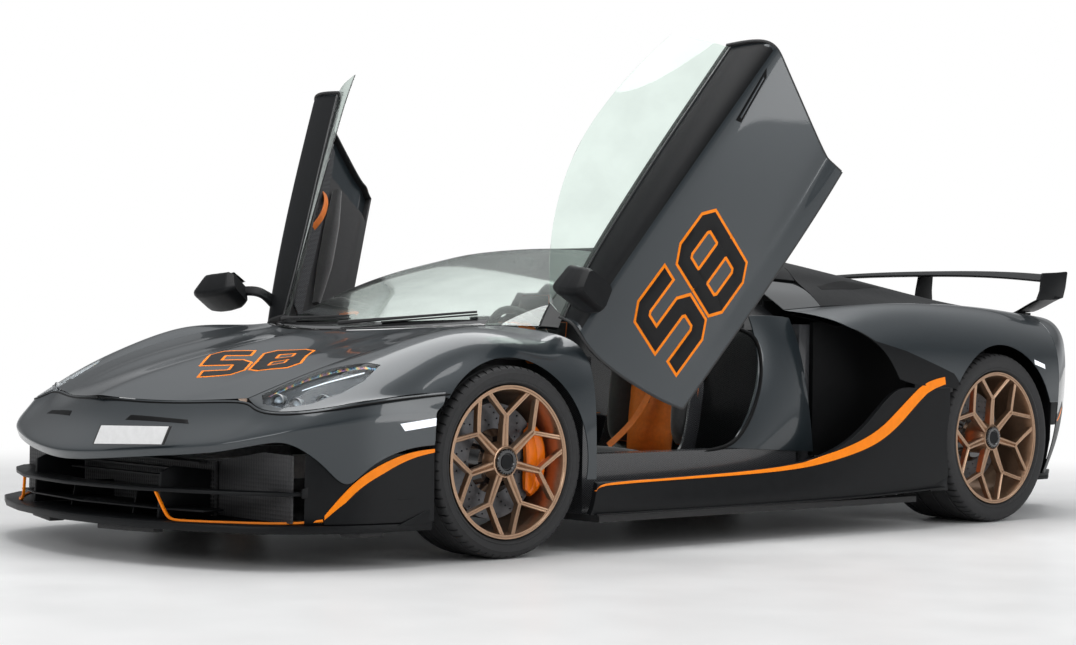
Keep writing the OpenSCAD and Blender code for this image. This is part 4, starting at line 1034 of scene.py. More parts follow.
for (end, hand), w in WHEELS.items():
    rim, half = RIM_RADIUS[end], w["width"] / MM / 2
    at, s, body = w["at"], w["side"], f"wheel_{end}_{hand}"
    barrel = [(half - 11, rim - 5), (half - 11, rim - 11), (half - 14, rim - 13), (half - 14, rim - 19),
        (half - 26, rim - 23), (half - 44, rim - 27), (half - 60, rim - 29), (30 - half, rim - 29),
        (14 - half, rim - 17), (11 - half, rim - 12), (11 - half, rim - 5), (20 - half, rim - 5),
        (40 - half, rim - 17), (half - 50, rim - 17), (half - 26, rim - 5)]
    hoop = turned(f"rim_barrel_{end}_{hand}", barrel, at, s, BRONZE, body, "wheel_alloy", 128)
    wide, neck = beam_section(15, 6, 7, 30), beam_section(11, 4.5, 5, 26)
    fork, tip = beam_section(7.5, 2.5, 2, 24, 2), beam_section(8.5, 2.5, 1.5, 22, 2)
    lines = []
    fork_at = 0.60 * rim
    for k in range(ARMS):
        t = 2 * np.pi * k / ARMS + np.pi / 2
        lines.append(((46, t, wide), (fork_at + 3, t, neck)))
        for way in (-1, 1):
            lines.append(((fork_at - 4, t, fork), (rim - 17, t + way * math.radians(20.3), tip)))

    def face_out(r, rim=rim, half=half):
        f = min(1, max(0, (r - 60) / (rim - 80)))
        return half - 34 + 18 * f * f

    star = add_mesh(f"rim_star_{end}_{hand}", *beams(at, s, lines, face_out), BRONZE, body, "wheel_alloy", sharp=25)
    hub = [(-5, 34), (-5, 69), (half - 62, 69), (half - 44, 58), (half - 32, 54), (half - 31, 50), (half - 36, 46),
        (half - 36, 34)]
    boss = turned(f"hub_boss_{end}_{hand}", hub, at, s, BRONZE, body, "wheel_alloy", 64)
    for piece in (hoop, star, boss):
        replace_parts(piece, f"wheel_{end}_{hand}")
    teeth = 24
    nut_angles = np.concatenate([[(k + f) * 2 * np.pi / teeth for f in (0, 0.45, 0.5, 0.95)] for k in range(teeth)])
    nuts = [[(half - 40, 20), (half - 40, 45), (half - 26, 45 if k % 4 < 2 else 41),
        (half - 23, 42 if k % 4 < 2 else 38), (half - 23, 31), (half - 28, 28), (half - 28, 20)]
        for k in range(4 * teeth)]
    add_mesh(f"centre_lock_{end}_{hand}", *revolve(nuts, at, s, nut_angles), GLOSS_BLACK, body)
    cap = [(half - 30, 0.01), (half - 30, 26), (half - 26, 26), (half - 25, 24.5), (half - 25.5, 0.01)]
    turned(f"hub_cap_{end}_{hand}", cap, at, s, SATIN_BLACK, body, count=48)
print("rims with", ARMS, "forked arms")

# %% [markdown]
# The brake disc is a ring with a vent gap and a pattern of small drilled holes, on a black bell.
# The holes are cut by one boolean: a mesh of many little cylinders is taken out of one disc,
# and that disc's mesh is used again for every wheel. The caliper clasps the disc behind the front axle
# and ahead of the rear one, so its weight sits inside the wheelbase.

# %% Brakes
def drilled_disc():
    r = DISC_RADIUS["front"]
    half = DISC_THICK / 2
    ring = [(half, 112), (half, r - 1), (half - 1, r), (4, r), (4, r - 14), (-4, r - 14), (-4, r), (1 - half, r),
        (-half, r - 1), (-half, 112)]
    o = helper_mesh("disc_master", *revolve([ring] * 96, (0, 0, 0), 1, around(96)))
    verts, faces = [], []
    for arm in range(18):
        for k in range(4):
            t = 2 * np.pi * arm / 18 + 0.09 * k
            p = (126 + 20 * k) * np.array([math.cos(t), math.sin(t)])
            a = around(10)
            start = len(verts)
            for x in (-half - 2, half + 2):
                verts += [(x * MM, (p[0] + 3.6 * c) * MM, (p[1] + 3.6 * d) * MM)
                    for c, d in zip(np.cos(a), np.sin(a))]
            faces += [[start + i, start + (i + 1) % 10, start + 10 + (i + 1) % 10, start + 10 + i]
                for i in range(10)]
            faces += [list(range(start, start + 10)), list(range(start + 19, start + 9, -1))]
    holes = helper_mesh("disc_holes", verts, faces)
    cut(o, holes, sharp=30)
    drop(holes)
    return o


def caliper_piece(name, at, side, middle, inner, outer, body):
    """Tapered arc with a leg on each face of the disc."""
    reach = math.radians(38)
    angles = np.linspace(-reach, reach, 29)
    sections = []
    for t in angles / reach:
        a, b = inner + 34 * abs(t) ** 3, outer - 24 * t**4
        swell = 4 * (1 - t * t)
        sections.append([(37, a), (48 + swell, a + 2), (53 + swell, a + 10), (53 + swell, (a + b) / 2 - 8),
            (50 + swell, (a + b) / 2), (53 + swell, (a + b) / 2 + 8), (52 + swell, b - 16), (46, b - 4), (40, b),
            (-16, b), (-26, b - 5), (-31, b - 16), (-31, a + 10), (-26, a), (-13, a), (-13, outer - 38),
            (37, outer - 38)])
    return add_mesh(name, *revolve(sections, at, side, angles + middle, ring=False), CALIPER, body,
        "caliper_paint", 28)


master = drilled_disc()
for (end, hand), w in WHEELS.items():
    at, s, wheel_body = w["at"], w["side"], f"wheel_{end}_{hand}"
    k = DISC_RADIUS[end] / DISC_RADIUS["front"]
    mesh = master.data.copy()
    mesh.transform(Matrix.Translation((at[0] + s * DISC_OUT * MM, at[1], at[2])) @ Matrix.Diagonal((s, k, k, 1)))
    if s < 0:
        mesh.flip_normals()
    mesh.materials.clear()
    mesh.materials.append(STEEL)
    disc = add_object(f"disc_{end}_{hand}", mesh, wheel_body, 30)
    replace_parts(disc, f"wheel_{end}_{hand}")
    bell = [(-8, 64), (-8, 120 * k), (22, 120 * k), (26, 114 * k), (48, 92), (52, 88), (52, 66), (40, 64)]
    turned(f"disc_bell_{end}_{hand}", bell, at, s, GLOSS_BLACK, wheel_body, count=64)
    middle, body = (0, f"knuckle_{hand}") if end == "front" else (np.pi, "body")
    inner, outer = DISC_RADIUS[end] - 68, RIM_RADIUS[end] - 37
    caliper = caliper_piece(f"caliper_{end}_{hand}", at, s, middle, inner, outer, body)
    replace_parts(caliper, f"knuckle_{hand}" if end == "front" else "rear_calipers")
    if end == "front":
        # what the wheel hangs on: a carrier, the kingpin it steers about, and the caliper's foot
        out, up = abs(at[0]) / MM, at[2] / MM
        turned(f"knuckle_carrier_{hand}", [(-88, 22), (-88, 68), (-83, 74), (-57, 74), (-52, 68), (-52, 22)], at,
            s, CAST, body, count=64)
        sweep(f"kingpin_{hand}", [[out - 70, 0, up - 145], [out - 70, 0, up + 145]], disc_section(14, 24), STEEL,
            body, side=s, steps=0, up=(1, 0, 0))
        prism(f"caliper_foot_{hand}", [[57, up - 38], [188, up - 38], [188, up + 38], [57, up + 38]], "x",
            out - 79, out - 35, CAST, body, slot="caliper_paint", side=s)
drop(master)
print("brakes done")

# %% [markdown]
# ## Nose
# Under the painted nose skin sits the black aero part: a corner panel ahead of each wheel, a blade from tip
# to tip, upright vanes, and mesh well behind them in the dark. The splitter is the lowest plate.
# Each is a plate or a small net, so each is drawn in plan and given its thickness.

# %% Lower nose
CORNER_PLAN = [[880, -788], [914, -728], [940, -665], [959, -600], [979, -457], [990, -352], [930, -352],
    [915, -520], [885, -640], [850, -730]]
BLADE_PLAN = [[0, -1148], [200, -1130], [384, -1098], [600, -1008], [760, -923], [848, -848], [886, -765],
    [878, -725], [800, -790], [700, -880], [560, -930], [380, -985], [0, -1050]]
SPLITTER_PLAN = [[0, -1164], [200, -1148], [400, -1113], [600, -1048], [790, -953], [898, -840], [958, -690],
    [993, -520], [1000, -354], [600, -354], [600, -44], [0, -44]]
for hand, s in SIDES:
    corner = add_panel(f"nose_corner_{hand}", CORNER_NET, SATIN_BLACK, slot="black_panel", side=s,
        gaps=(0.0005, 0.0005, 0.0005, 0.0005), thick=12 * MM)
    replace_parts(corner, "front_aero")
    prism(f"nose_post_{hand}", CORNER_PLAN, "z", 147, 372, SATIN_BLACK, side=s)
    prism(f"blade_tip_{hand}", [[-800, 232], [-716, 232], [-712, 262], [-730, 284], [-800, 262]], "x", 880, 886,
        SATIN_BLACK, side=s, bevel=1.5)
    vane = [[-1040, 147], [-840, 147], [-840, 300], [-985, 318], [-1030, 300]]
    prism(f"inlet_vane_{hand}", vane, "x", 404, 418, SATIN_BLACK, side=s, bevel=3)
    low_vane = [[-1010, 147], [-840, 147], [-840, 234], [-990, 234]]
    prism(f"inlet_vane_low_{hand}", low_vane, "x", 200, 208, SATIN_BLACK, side=s)
    side_mesh = [[424, 150], [848, 150], [848, 368], [700, 372], [424, 330]]
    prism(f"side_mesh_{hand}", side_mesh, "y", -820, -808, HOLE_SHADE_MESH, side=s, bevel=0)
    for k, z in enumerate((185, 222)):
        strake = [[880 - 9 * k, -712 - 20 * k], [920, -640], [960, -480], [966, -420], [940, -420], [880, -600]]
        prism(f"corner_strake_{k}_{hand}", [[x + 26, y] for x, y in strake], "z", z, z + 6, SATIN_BLACK, side=s,
            bevel=1.5)
    foot = [[160, -1118], [400, -1050], [400, -1010], [160, -1060]]
    prism(f"skid_{hand}", foot, "z", 99, 119, MOULDED, side=s, bevel=3)
    prism(f"skid_outer_{hand}", [[872, -638], [928, -600], [928, -502], [872, -540]], "z", 99, 119, MOULDED,
        side=s, bevel=3)
    prism(f"splitter_end_{hand}", [[-500, 138], [-354, 138], [-354, 188], [-366, 190]], "x", 990, 998, SATIN_BLACK,
        side=s)
    seal = [[x, y + 8, z - 9] for x, y, z in BUMPER_NET[0]]
    sweep(f"nose_seal_{hand}", seal, rounded(16, 3, 0.6), DUCT_BLACK_AND_SHADE, side=s, steps=6)
blade = prism("nose_blade", mirrored(BLADE_PLAN), "z", 238, 250, SATIN_BLACK, bevel=3)
prism("nose_blade_low", [[-600, -985], [-400, -1046], [0, -1090], [400, -1046], [600, -985], [590, -900],
    [-590, -900]], "z", 176, 183, SATIN_BLACK, bevel=2)
prism("inlet_mesh", [[-440, 147], [440, 147], [440, 328], [-440, 328]], "y", -838, -826, HOLE_SHADE_MESH, bevel=0)
for k in range(3):
    bar = [[-395, 268 + 26 * k], [395, 268 + 26 * k], [395, 274 + 26 * k], [-395, 274 + 26 * k]]
    prism(f"inlet_slat_{k}", bar, "y", -900 + 14 * k, -870 + 14 * k, MOULDED, bevel=1)
splitter = prism("splitter", mirrored(SPLITTER_PLAN), "z", 119, 145, SATIN_BLACK, bevel=5)
houses = [arch_cutter("front", name, 3 * MM) for name, s in SIDES]
cut(splitter, *houses)
drop(*houses)
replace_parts(splitter, "front_splitter")
print("lower nose done")

# %% [markdown]
# Thin orange lines follow the character lines of the nose. The line is bright because it is drawn
# over black, just under the paint edge, so it is laid on the corner panel and not on the painted skin.

# %% Nose stripes, vents and plate
for hand, s in SIDES:
    top, low = (smooth_line(mm(CORNER_NET[k]), 12) for k in (0, 1))
    wide = np.interp(np.linspace(0, 1, len(top)), (0, 0.25, 0.6, 0.85, 1), (13, 34, 32, 18, 12)) * MM
    down = unit(low - top) * wide[:, None]
    strip = top[:, None] + np.linspace(0, 1, 5)[None, :, None] * down[:, None]
    strip = strip - 1.2 * MM * inward(strip)
    verts, faces = panel_mesh(strip, (0, 0, 0, 0), 1.5 * MM, bevel=0.3 * MM)
    add_mesh(f"corner_stripe_{hand}", verts * [s, 1, 1], faces, ORANGE, slot="paint")
    frame_line = [[432, -1066, 246], [452, -1056, 205], [478, -1046, 158], [500, -1040, 148], [560, -1018, 147],
        [720, -905, 147], [850, -800, 148], [912, -736, 160]]
    sweep(f"inlet_stripe_{hand}", frame_line, rounded(4, 5, 0.4), ORANGE, slot="paint", side=s, steps=6,
        up=(0, -1, 0.2))
nose_skin = skin_of("nose_skin")
for hand, s in SIDES:
    # each vent slot is a flat dark band on the skin: painted shade of the slot's depth
    slot_at = [[200, -1040, 496], [455, -975, 494], [472, -975, 474], [188, -1050, 477]]
    add_skin(f"nose_vent_shade_{hand}", patch_grid(slot_at, 4, 16) * [s, 1, 1], nose_skin, DUCT_BLACK_AND_SHADE, lift=0.5)
    marker = [[1004, -487, 470], [1014, -346, 488], [1014, -346, 462], [1004, -468, 446]]
    add_skin(f"side_marker_{hand}", patch_grid(marker, 3, 12) * [s, 1, 1], nose_skin, LAMP_WHITE, slot="lamp_lens",
        lift=1.2, thick=2)
plate_at = mm([[196, -1150, 384], [476, -1064, 393], [500, -1052, 452], [222, -1138, 446]])
out = unit(np.cross(plate_at[1] - plate_at[0], plate_at[3] - plate_at[0]))
for name, grow, lift, thick, material in (("plate_holder", 1.05, 1, 6, MOULDED),
        ("number_plate", 1.0, 7, 2, PLATE_WHITE)):
    middle = plate_at.mean(0)
    ring = middle + (plate_at - middle) * grow + out * lift * MM
    verts = np.concatenate([ring, ring + out * thick * MM])
    faces = [[0, 1, 5, 4], [1, 2, 6, 5], [2, 3, 7, 6], [3, 0, 4, 7], [3, 2, 1, 0], [4, 5, 6, 7]]
    soften(add_mesh(name, verts, faces, material), 1.5)
print("nose trim done")

# %% [markdown]
# A lamp is a clear lens over a black bowl, with small projectors and a light guide inside.
# The lens is the fender's own surface, cut to the lamp's outline, so it is flush with the paint.
# The upper edge carries a thin coating that shows rainbow colours. That is a real optical effect; the shader
# draws it as bands of rainbow colour on a dark, shiny base.

# %% Lamps
def iridescent(name, pitch):
    """A coated bezel: its colour runs through a rainbow along each band, as the film's thickness does."""
    m, nodes, links, bsdf = new_material(name)
    where = nodes.new("ShaderNodeTexCoord")
    bands = add_node(nodes, "ShaderNodeTexWave", Scale=0.31416 / pitch, Distortion=1.5)
    bands.bands_direction = "DIAGONAL"
    links.new(where.outputs["Object"], bands.inputs["Vector"])
    ramp = nodes.new("ShaderNodeValToRGB")
    stops = ((0.0, (0.01, 0.03, 0.10)), (0.25, (0.01, 0.22, 0.30)), (0.5, (0.45, 0.42, 0.06)),
        (0.72, (0.60, 0.20, 0.03)), (1.0, (0.10, 0.02, 0.12)))
    while len(ramp.color_ramp.elements) < len(stops):
        ramp.color_ramp.elements.new(0.5)
    for element, (position, colour) in zip(ramp.color_ramp.elements, stops):
        element.position = position
        element.color = colour + (1,)
    links.new(bands.outputs["Fac"], ramp.inputs["Fac"])
    links.new(ramp.outputs["Color"], bsdf.inputs["Base Color"])
    links.new(spread(nodes, links, bands.outputs["Fac"], 0.15, 0.25), bsdf.inputs["Roughness"])
    bsdf.inputs["Metallic"].default_value = 0.5
    return m


FILM = iridescent("coated_bezel", 0.05)


def lathe_along(name, at, direction, section, material, count=40, body="body", slot="lamp_lens"):
    """Section (ahead, radius) in mm turned round any direction."""
    z = unit(np.array(direction, float))
    x = unit(np.cross(z, [0.0, 0.3, 1.0]))
    y = np.cross(z, x)
    a = around(count)
    s = np.asarray(section, float) * MM
    verts = (at + s[None, :, :1] * z + s[None, :, 1:] * (np.cos(a)[:, None, None] * x
        + np.sin(a)[:, None, None] * y)).reshape(-1, 3)
    m = len(s)
    i, j = np.meshgrid(np.arange(count), np.arange(m - 1), indexing="ij")
    k = (i + 1) % count
    faces = np.stack([i * m + j, i * m + j + 1, k * m + j + 1, k * m + j], -1).reshape(-1, 4)
    return add_mesh(name, verts, faces, material, body, slot)


for hand, s in SIDES:
    lens = add_panel(f"lamp_lens_{hand}", FRONT_FENDER_NET, COVER_GLASS, slot="lamp_lens", side=s, steps=10,
        thick=3 * MM)
    hole = lamp_cutter(s, -0.012)
    cut(lens, hole, keep=True)
    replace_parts(lens, "headlamps")
    drop(hole)
    deep = smooth_net(mm(FRONT_FENDER_NET), 10)
    deep = deep + 34 * MM * inward(deep)
    bowl = add_panel(f"lamp_bowl_{hand}", deep, LAMP_INNER, slot="lamp_lens", side=s, is_grid=True, thick=4 * MM)
    hole = lamp_cutter(s, 0.03)
    cut(bowl, hole, keep=True)
    drop(hole)
    inner_skin = skin_of(f"lamp_lens_{hand}")
    film_line = [[866, -492], [818, -520], [716, -628], [686, -712], [672, -786]]
    ribbon(f"lamp_film_{hand}", [[x, y, 900] for x, y in film_line], [8, 22, 30, 24, 10], inner_skin, FILM, side=s,
        lift=-9, slot="lamp_lens", towards=(0, 0, -1))
    guide = [[748, -712], [782, -650], [822, -584], [846, -528]]
    ribbon(f"lamp_guide_{hand}", [[x, y, 900] for x, y in guide], [7, 9, 9, 7], inner_skin, LAMP_WHITE, side=s,
        lift=-14, slot="lamp_lens", towards=(0, 0, -1))
    wall_line = [[700, -812], [772, -798], [832, -728], [864, -640]]
    ribbon(f"lamp_wall_{hand}", [[x, y, 900] for x, y in wall_line], [9, 9, 9], inner_skin, CAST, side=s, lift=-22,
        slot="lamp_lens", towards=(0, 0, -1))
    for k, (x, y, z) in enumerate(((716, -778, 536), (782, -752, 524), (836, -684, 536))):
        at = mm([s * x, y, z])
        aim = (s * 0.35, -1.0, 0.12)
        bezel = [(-20, 24), (8, 27), (12, 25), (6, 21), (0, 20)]
        lathe_along(f"projector_rim_{k}_{hand}", at, aim, bezel, CAST)
        dome = [(-6, 20.5)] + [(-6 + 15 * math.sin(a), 20.5 * math.cos(a)) for a in np.linspace(0.1, 1.55, 8)]
        lathe_along(f"projector_lens_{k}_{hand}", at, aim, dome, LAMP_GLASS)
print("lamps done")

# %% [markdown]
# ## Sides
# The rear fender is one pressing, but only its upper part is painted: below a line that falls from the intake
# to the arch it is black. A straight prism whose edge follows that line parts one panel into two finishes.
# The same is done with the tail corner, whose lower half is black.

# %% Two-tone panels
def part_in_two(upper, low_name, outline, s, material=SATIN_BLACK):
    """Cuts what lies inside a side-view outline off a panel, and makes it a piece of its own."""
    verts, faces = prism_mesh(outline, "x", 500, 1300)
    block = helper_mesh("parting", verts * [s, 1, 1], faces)
    mesh = PIECES[upper].data.copy()
    mesh.materials.clear()
    mesh.materials.append(material)
    low = add_object(low_name, mesh, "body")
    cut(low, block, keep=True)
    cut(PIECES[upper], block)
    drop(block)
    return low


for hand, s in SIDES:
    low_line = [[1700, 300], [1700, 822], [1790, 800], [1871, 758], [2050, 720], [2250, 660], [2352, 628],
        [2420, 560], [2420, 300]]
    part_in_two(f"rear_fender_{hand}", f"fender_low_{hand}", low_line, s)
    tail_line = [[3000, 100], [3000, 440], [3160, 452], [3248, 505], [3330, 470], [3500, 440], [3700, 420],
        [3700, 100]]
    part_in_two(f"tail_corner_{hand}", f"tail_corner_low_{hand}", tail_line, s)
print("two-tone panels done")

# %% [markdown]
# Orange lines run along the sill and sweep up to the rear arch, getting wider on the way.
# Behind the door a painted wall leads into the intake, and a black rubber seal runs round the opening.

# %% Stripes, jambs and seals
JAMB_NET = net("""
    888 1170 345, 900 1300 338, 905 1450 330, 902 1560 325, 886 1668 318 /
    886 1262 412, 900 1370 410, 908 1480 405, 904 1575 400, 886 1660 395 /
    872 1372 602, 893 1440 602, 900 1520 600, 896 1575 598, 878 1632 595 /
    856 1362 760, 873 1420 760, 880 1485 758, 876 1545 755, 858 1605 750 /
    842 1333 850, 852 1390 852, 857 1440 852, 853 1505 850, 836 1572 845""")
SEAL_LINE = [[868, 420, 330], [872, 620, 322], [876, 880, 326], [882, 1080, 336], [886, 1190, 352],
    [888, 1262, 405], [882, 1330, 500], [873, 1374, 602], [864, 1378, 690], [856, 1362, 765], [820, 1330, 792],
    [758, 1290, 818]]
for hand, s in SIDES:
    join = [[2100, 556], [2150, 545], [2345, 552], [2352, 594], [2150, 590], [2100, 596]]
    prism(f"sill_join_{hand}", join, "x", 1036, 1046, SATIN_BLACK, side=s, slot="black_panel")
    side_skin = skin_of(f"sill_{hand}", f"fender_low_{hand}", f"sill_join_{hand}")
    line = [[1000, 345, 241], [1005, 640, 246], [1007, 904, 251], [1010, 1200, 259], [1018, 1457, 276],
        [1032, 1650, 312], [1045, 1854, 366], [1047, 1989, 446], [1048, 2133, 556], [1049, 2215, 586],
        [1049, 2290, 600]]
    ribbon(f"sill_stripe_{hand}", line, [8, 9, 12, 16, 24, 32, 44, 52, 46, 38, 30], side_skin, side=s, lift=3,
        even=3)
    tail_skin = skin_of(f"tail_corner_{hand}", f"tail_corner_low_{hand}")
    ribbon(f"tail_stripe_{hand}", [[1000, 3150, 418], [985, 3200, 432], [972, 3250, 455], [960, 3300, 470]],
        [6, 16, 22, 8], tail_skin, side=s)
    add_panel(f"jamb_{hand}", JAMB_NET, PAINT, side=s, gaps=(0, 0, 0, 0), thick=6 * MM)
    shelf = [[[812, 1335, 795], [770, 1390, 812], [690, 1450, 868], [590, 1500, 935]],
        [[818, 1440, 795], [775, 1480, 815], [700, 1520, 872], [595, 1540, 938]],
        [[808, 1575, 795], [775, 1600, 818], [735, 1612, 845], [680, 1585, 890]]]
    add_panel(f"jamb_top_{hand}", shelf, SATIN_BLACK, slot="black_panel", side=s, gaps=(0, 0, 0, 0), thick=6 * MM)
    duct_roof = [[[760, 1628, 860], [840, 1662, 848], [900, 1692, 833], [950, 1726, 812]],
        [[735, 1900, 884], [840, 1900, 878], [905, 1905, 866], [955, 1925, 842]],
        [[715, 2240, 885], [800, 2240, 892], [880, 2240, 892], [940, 2245, 875]]]
    add_panel(f"duct_roof_{hand}", duct_roof, DUCT_BLACK_AND_SHADE, slot="duct", side=s, gaps=(0, 0, 0, 0), thick=5 * MM)
    duct_wall = [[1590, 740], [2300, 740], [2300, 893], [1590, 915]]
    prism(f"duct_wall_{hand}", duct_wall, "x", 672, 680, DUCT_BLACK_AND_SHADE, slot="duct", side=s)
    arch_wall = [[640, 165], [960, 190], [990, 340], [996, 500], [988, 640], [956, 740], [900, 800], [640, 850]]
    prism(f"rear_arch_wall_{hand}", arch_wall, "y", 3100, 3108, DUCT_BLACK_AND_SHADE, slot="duct", side=s)
    sweep(f"door_seal_{hand}", SEAL_LINE, rounded(7, 9, 0.9), DUCT_BLACK_AND_SHADE, side=s, steps=6, up=(1, 0, 0))
    side_marker = [[1034, 2950, 690], [1026, 3034, 668], [1026, 3034, 648], [1034, 2950, 668]]
    add_skin(f"rear_marker_{hand}", patch_grid(side_marker, 3, 8) * [s, 1, 1], skin_of(f"rear_fender_{hand}"),
        LAMP_WHITE, slot="lamp_lens", lift=0.8, thick=1.5)
    lip = [[1002, 380, 150], [1034, 640, 152], [1040, 1250, 154], [1044, 1710, 158], [1047, 2010, 166],
        [1045, 2290, 178]]
    sweep(f"sill_lip_{hand}", [[x - 8, y, z - 14] for x, y, z in lip], rounded(20, 3, 0.8), SATIN_BLACK, side=s,
        steps=6, slot="black_panel")
    winglet = [[2215, 150], [2330, 150], [2322, 205], [2240, 196]]
    prism(f"sill_winglet_{hand}", winglet, "x", 1030, 1040, SATIN_BLACK, side=s)
print("sides done")

# %% [markdown]
# The number on the door and the lid is drawn like a seven-segment sign with cut corners.
# Each digit is one line with a width. At each corner the two sides meet on a mitre, so the band keeps its width.
# A black band is laid over a wider orange one, and that leaves the orange outline.

# %% Number graphics
DIGITS = {"5": ([[[1, 2], [0.18, 2], [0, 1.82], [0, 1.02], [0.82, 1.02], [1, 0.84], [1, 0.18], [0.82, 0], [0, 0]]],
    False), "8": ([[[0.18, 0], [0.82, 0], [1, 0.18], [1, 0.86], [0.86, 1], [1, 1.14], [1, 1.82], [0.82, 2],
    [0.18, 2], [0, 1.82], [0, 1.14], [0.14, 1], [0, 0.86], [0, 0.18]], [[0.14, 1], [0.86, 1]]], True)}


def band(points, width, closed, per=14.0):
    """Rows of three points across a mitred band, with extra rows along its straight parts."""
    p = np.asarray(points, float)
    n = len(p)
    rows = []
    for i in range(n):
        a = p[i] - p[i - 1] if (closed or i) else p[1] - p[0]
        b = p[(i + 1) % n] - p[i] if (closed or i < n - 1) else p[-1] - p[-2]
        a, b = unit(a), unit(b)
        normal = unit(np.array([-a[1] - b[1], a[0] + b[0]]))
        reach = width / 2 / max(0.35, float(normal @ np.array([-a[1], a[0]])))
        rows.append([p[i] - normal * reach, p[i], p[i] + normal * reach])
    rows = np.array(rows)
    if closed:
        rows = np.concatenate([rows, rows[:1]])
    fine = [rows[:1]]
    for a, b in zip(rows[:-1], rows[1:]):
        k = max(1, int(np.linalg.norm(b[1] - a[1]) / per))
        fine.append(a + (b - a) * (np.arange(1, k + 1) / k)[:, None, None])
    return np.concatenate(fine)


def number(name, text, origin, across, up, height, lean, skin, towards, body, side=1, door=False, wide=1.5):
    """Digits on a skin. `across` and `up` are directions in the frame, `lean` the slant of the digits."""
    half = height / 2
    digit_w, gap, stroke, rim = half * wide, half * 0.66, half * 0.44, half * 0.085
    for layer, (material, extra, lift) in enumerate(((ORANGE, rim * 2, 0.5), (FILM_BLACK, 0, 1.0))):
        for k, digit in enumerate(text):
            for part, line in enumerate(DIGITS[digit][0]):
                closed = DIGITS[digit][1] and part == 0
                p = np.array(line, float) * [digit_w, half]
                g = band(p, stroke + extra, closed)
                if not closed and part == 0 and extra:
                    g[0] += (g[0] - g[1]) / np.linalg.norm(g[0] - g[1], axis=-1, keepdims=True) * rim
                    g[-1] += (g[-1] - g[-2]) / np.linalg.norm(g[-1] - g[-2], axis=-1, keepdims=True) * rim
                u = g[..., 0] + lean * g[..., 1] + k * (digit_w + gap)
                q = np.asarray(origin) + MM * (u[..., None] * across + g[..., 1:] * up)
                q = (swung(q) if door else q) * [side, 1, 1]
                add_skin(f"{name}_{digit}{k}_{part}_{layer}", q, skin, material, body, "paint", lift + 0.15 * part,
                    towards, thick=0.4)


hood_skin = skin_of("hood")
number("hood_number", "58", mm([205, -742, 900]), np.array([0.87, 0.49, 0]), np.array([-0.49, 0.87, 0]), 255,
    -0.25, hood_skin, (0, 0, -1), "hood", wide=1.0)
for hand, s in SIDES:
    # on the right-hand door the digits start at the rear, so that they aren't mirrored
    start, way = (545, 1.0) if s > 0 else (1065, -1.0)
    number(f"door_number_{hand}", "58", mm([996, start, 405]), np.array([0.0, way, 0]), np.array([0.0, 0, 1]), 235,
        0.32 * way, skin_of(f"door_skin_{hand}"), None, f"door_{hand}", s, door=True)
print("numbers done")

# %% [markdown]
# The door carries a black strip along the shoulder, a dark patch of painted shade in the handle's slot, and an inner
# trim panel.
# All of it is drawn with the door shut, where the numbers are easy to read, and then swung with the door.

# %% Door trim
def on_open_door(grid, s):
    return swung(grid) * [s, 1, 1]


for hand, s in SIDES:
    body = f"door_{hand}"
    open_skin = skin_of(f"door_skin_{hand}")
    shoulder = smooth_net(mm(np.array(DOOR_NET)[:, 6:]), 10)[:, 8:]
    add_skin(f"door_shoulder_{hand}", on_open_door(shoulder, s), open_skin, SATIN_BLACK, body, "black_panel",
        lift=0.7)
    # the handle's recess is a flat dark patch on the skin: painted shade under the handle bar
    slot_at = [[975, 1372, 778], [972, 1588, 800], [972, 1560, 778], [975, 1378, 756]]
    add_skin(f"door_handle_shade_{hand}", on_open_door(patch_grid(slot_at, 4, 14), s), open_skin, DUCT_BLACK_AND_SHADE, body,
        lift=0.9)
    bar_at = [[975, 1392, 772], [972, 1556, 790], [972, 1552, 784], [975, 1390, 765]]
    add_skin(f"door_handle_{hand}", on_open_door(patch_grid(bar_at, 3, 12), s), open_skin, PAINT, body, lift=2.2,
        thick=2)
    inner = smooth_net(mm(np.array(DOOR_NET)[:5, :8]), 6)
    inner = inner + 30 * MM * inward(inner)
    lining = add_panel(f"door_lining_{hand}", inner, MOULDED, body, "trim", gaps=(0.012,) * 4, thick=14 * MM,
        side=s, is_grid=True)
    on_door(lining)
    edge_net = [[p[0] for p in DOOR_NET], [p[-1] for p in DOOR_NET], DOOR_NET[0], DOOR_NET[-1]]
    for k, line in enumerate(edge_net):
        verge = sweep(f"door_edge_{k}_{hand}", [[x - 17, y, z] for x, y, z in line], rounded(16, 5, 0.6), MOULDED,
            body, "trim", side=s, steps=8, up=(0, 0, 1) if k < 2 else (0, 1, 0.2))
        on_door(verge)
    pad = np.array([[905, 700, 560], [905, 900, 560], [905, 1120, 575], [905, 1300, 590]], float)
    rest = sweep(f"door_armrest_{hand}", pad.tolist(), rounded(34, 24, 0.8), HIDE, body, "trim", side=s, steps=6,
        grow=[0.5, 1, 1, 0.6])
    on_door(rest)
    strap = sweep(f"door_strap_{hand}", [[896, 1010, 700], [872, 1060, 690], [868, 1120, 682], [874, 1180, 680],
        [898, 1226, 686]], rounded(3, 15, 0.8), ORANGE_HIDE, body, "trim", side=s, steps=6, up=(0, 0, 1))
    on_door(strap)
    panel_line = smooth_net(mm([[[921, 560, 640], [921, 600, 700]], [[918, 900, 650], [915, 900, 735]],
        [[908, 1250, 660], [905, 1280, 745]], [[905, 1450, 690], [903, 1470, 740]]]), 6)
    panel_line = panel_line + 12 * MM * inward(panel_line)
    insert = add_panel(f"door_insert_{hand}", panel_line, CARBON, body, "trim", gaps=(0,) * 4, thick=8 * MM,
        side=s, is_grid=True)
    on_door(insert)
    rubber = sweep(f"door_glass_seal_{hand}", [p[0] for p in DOOR_GLASS_NET], rounded(5, 5, 0.8), BLACK_EDGE, body,
        "black_panel", side=s, steps=8)
    on_door(rubber)
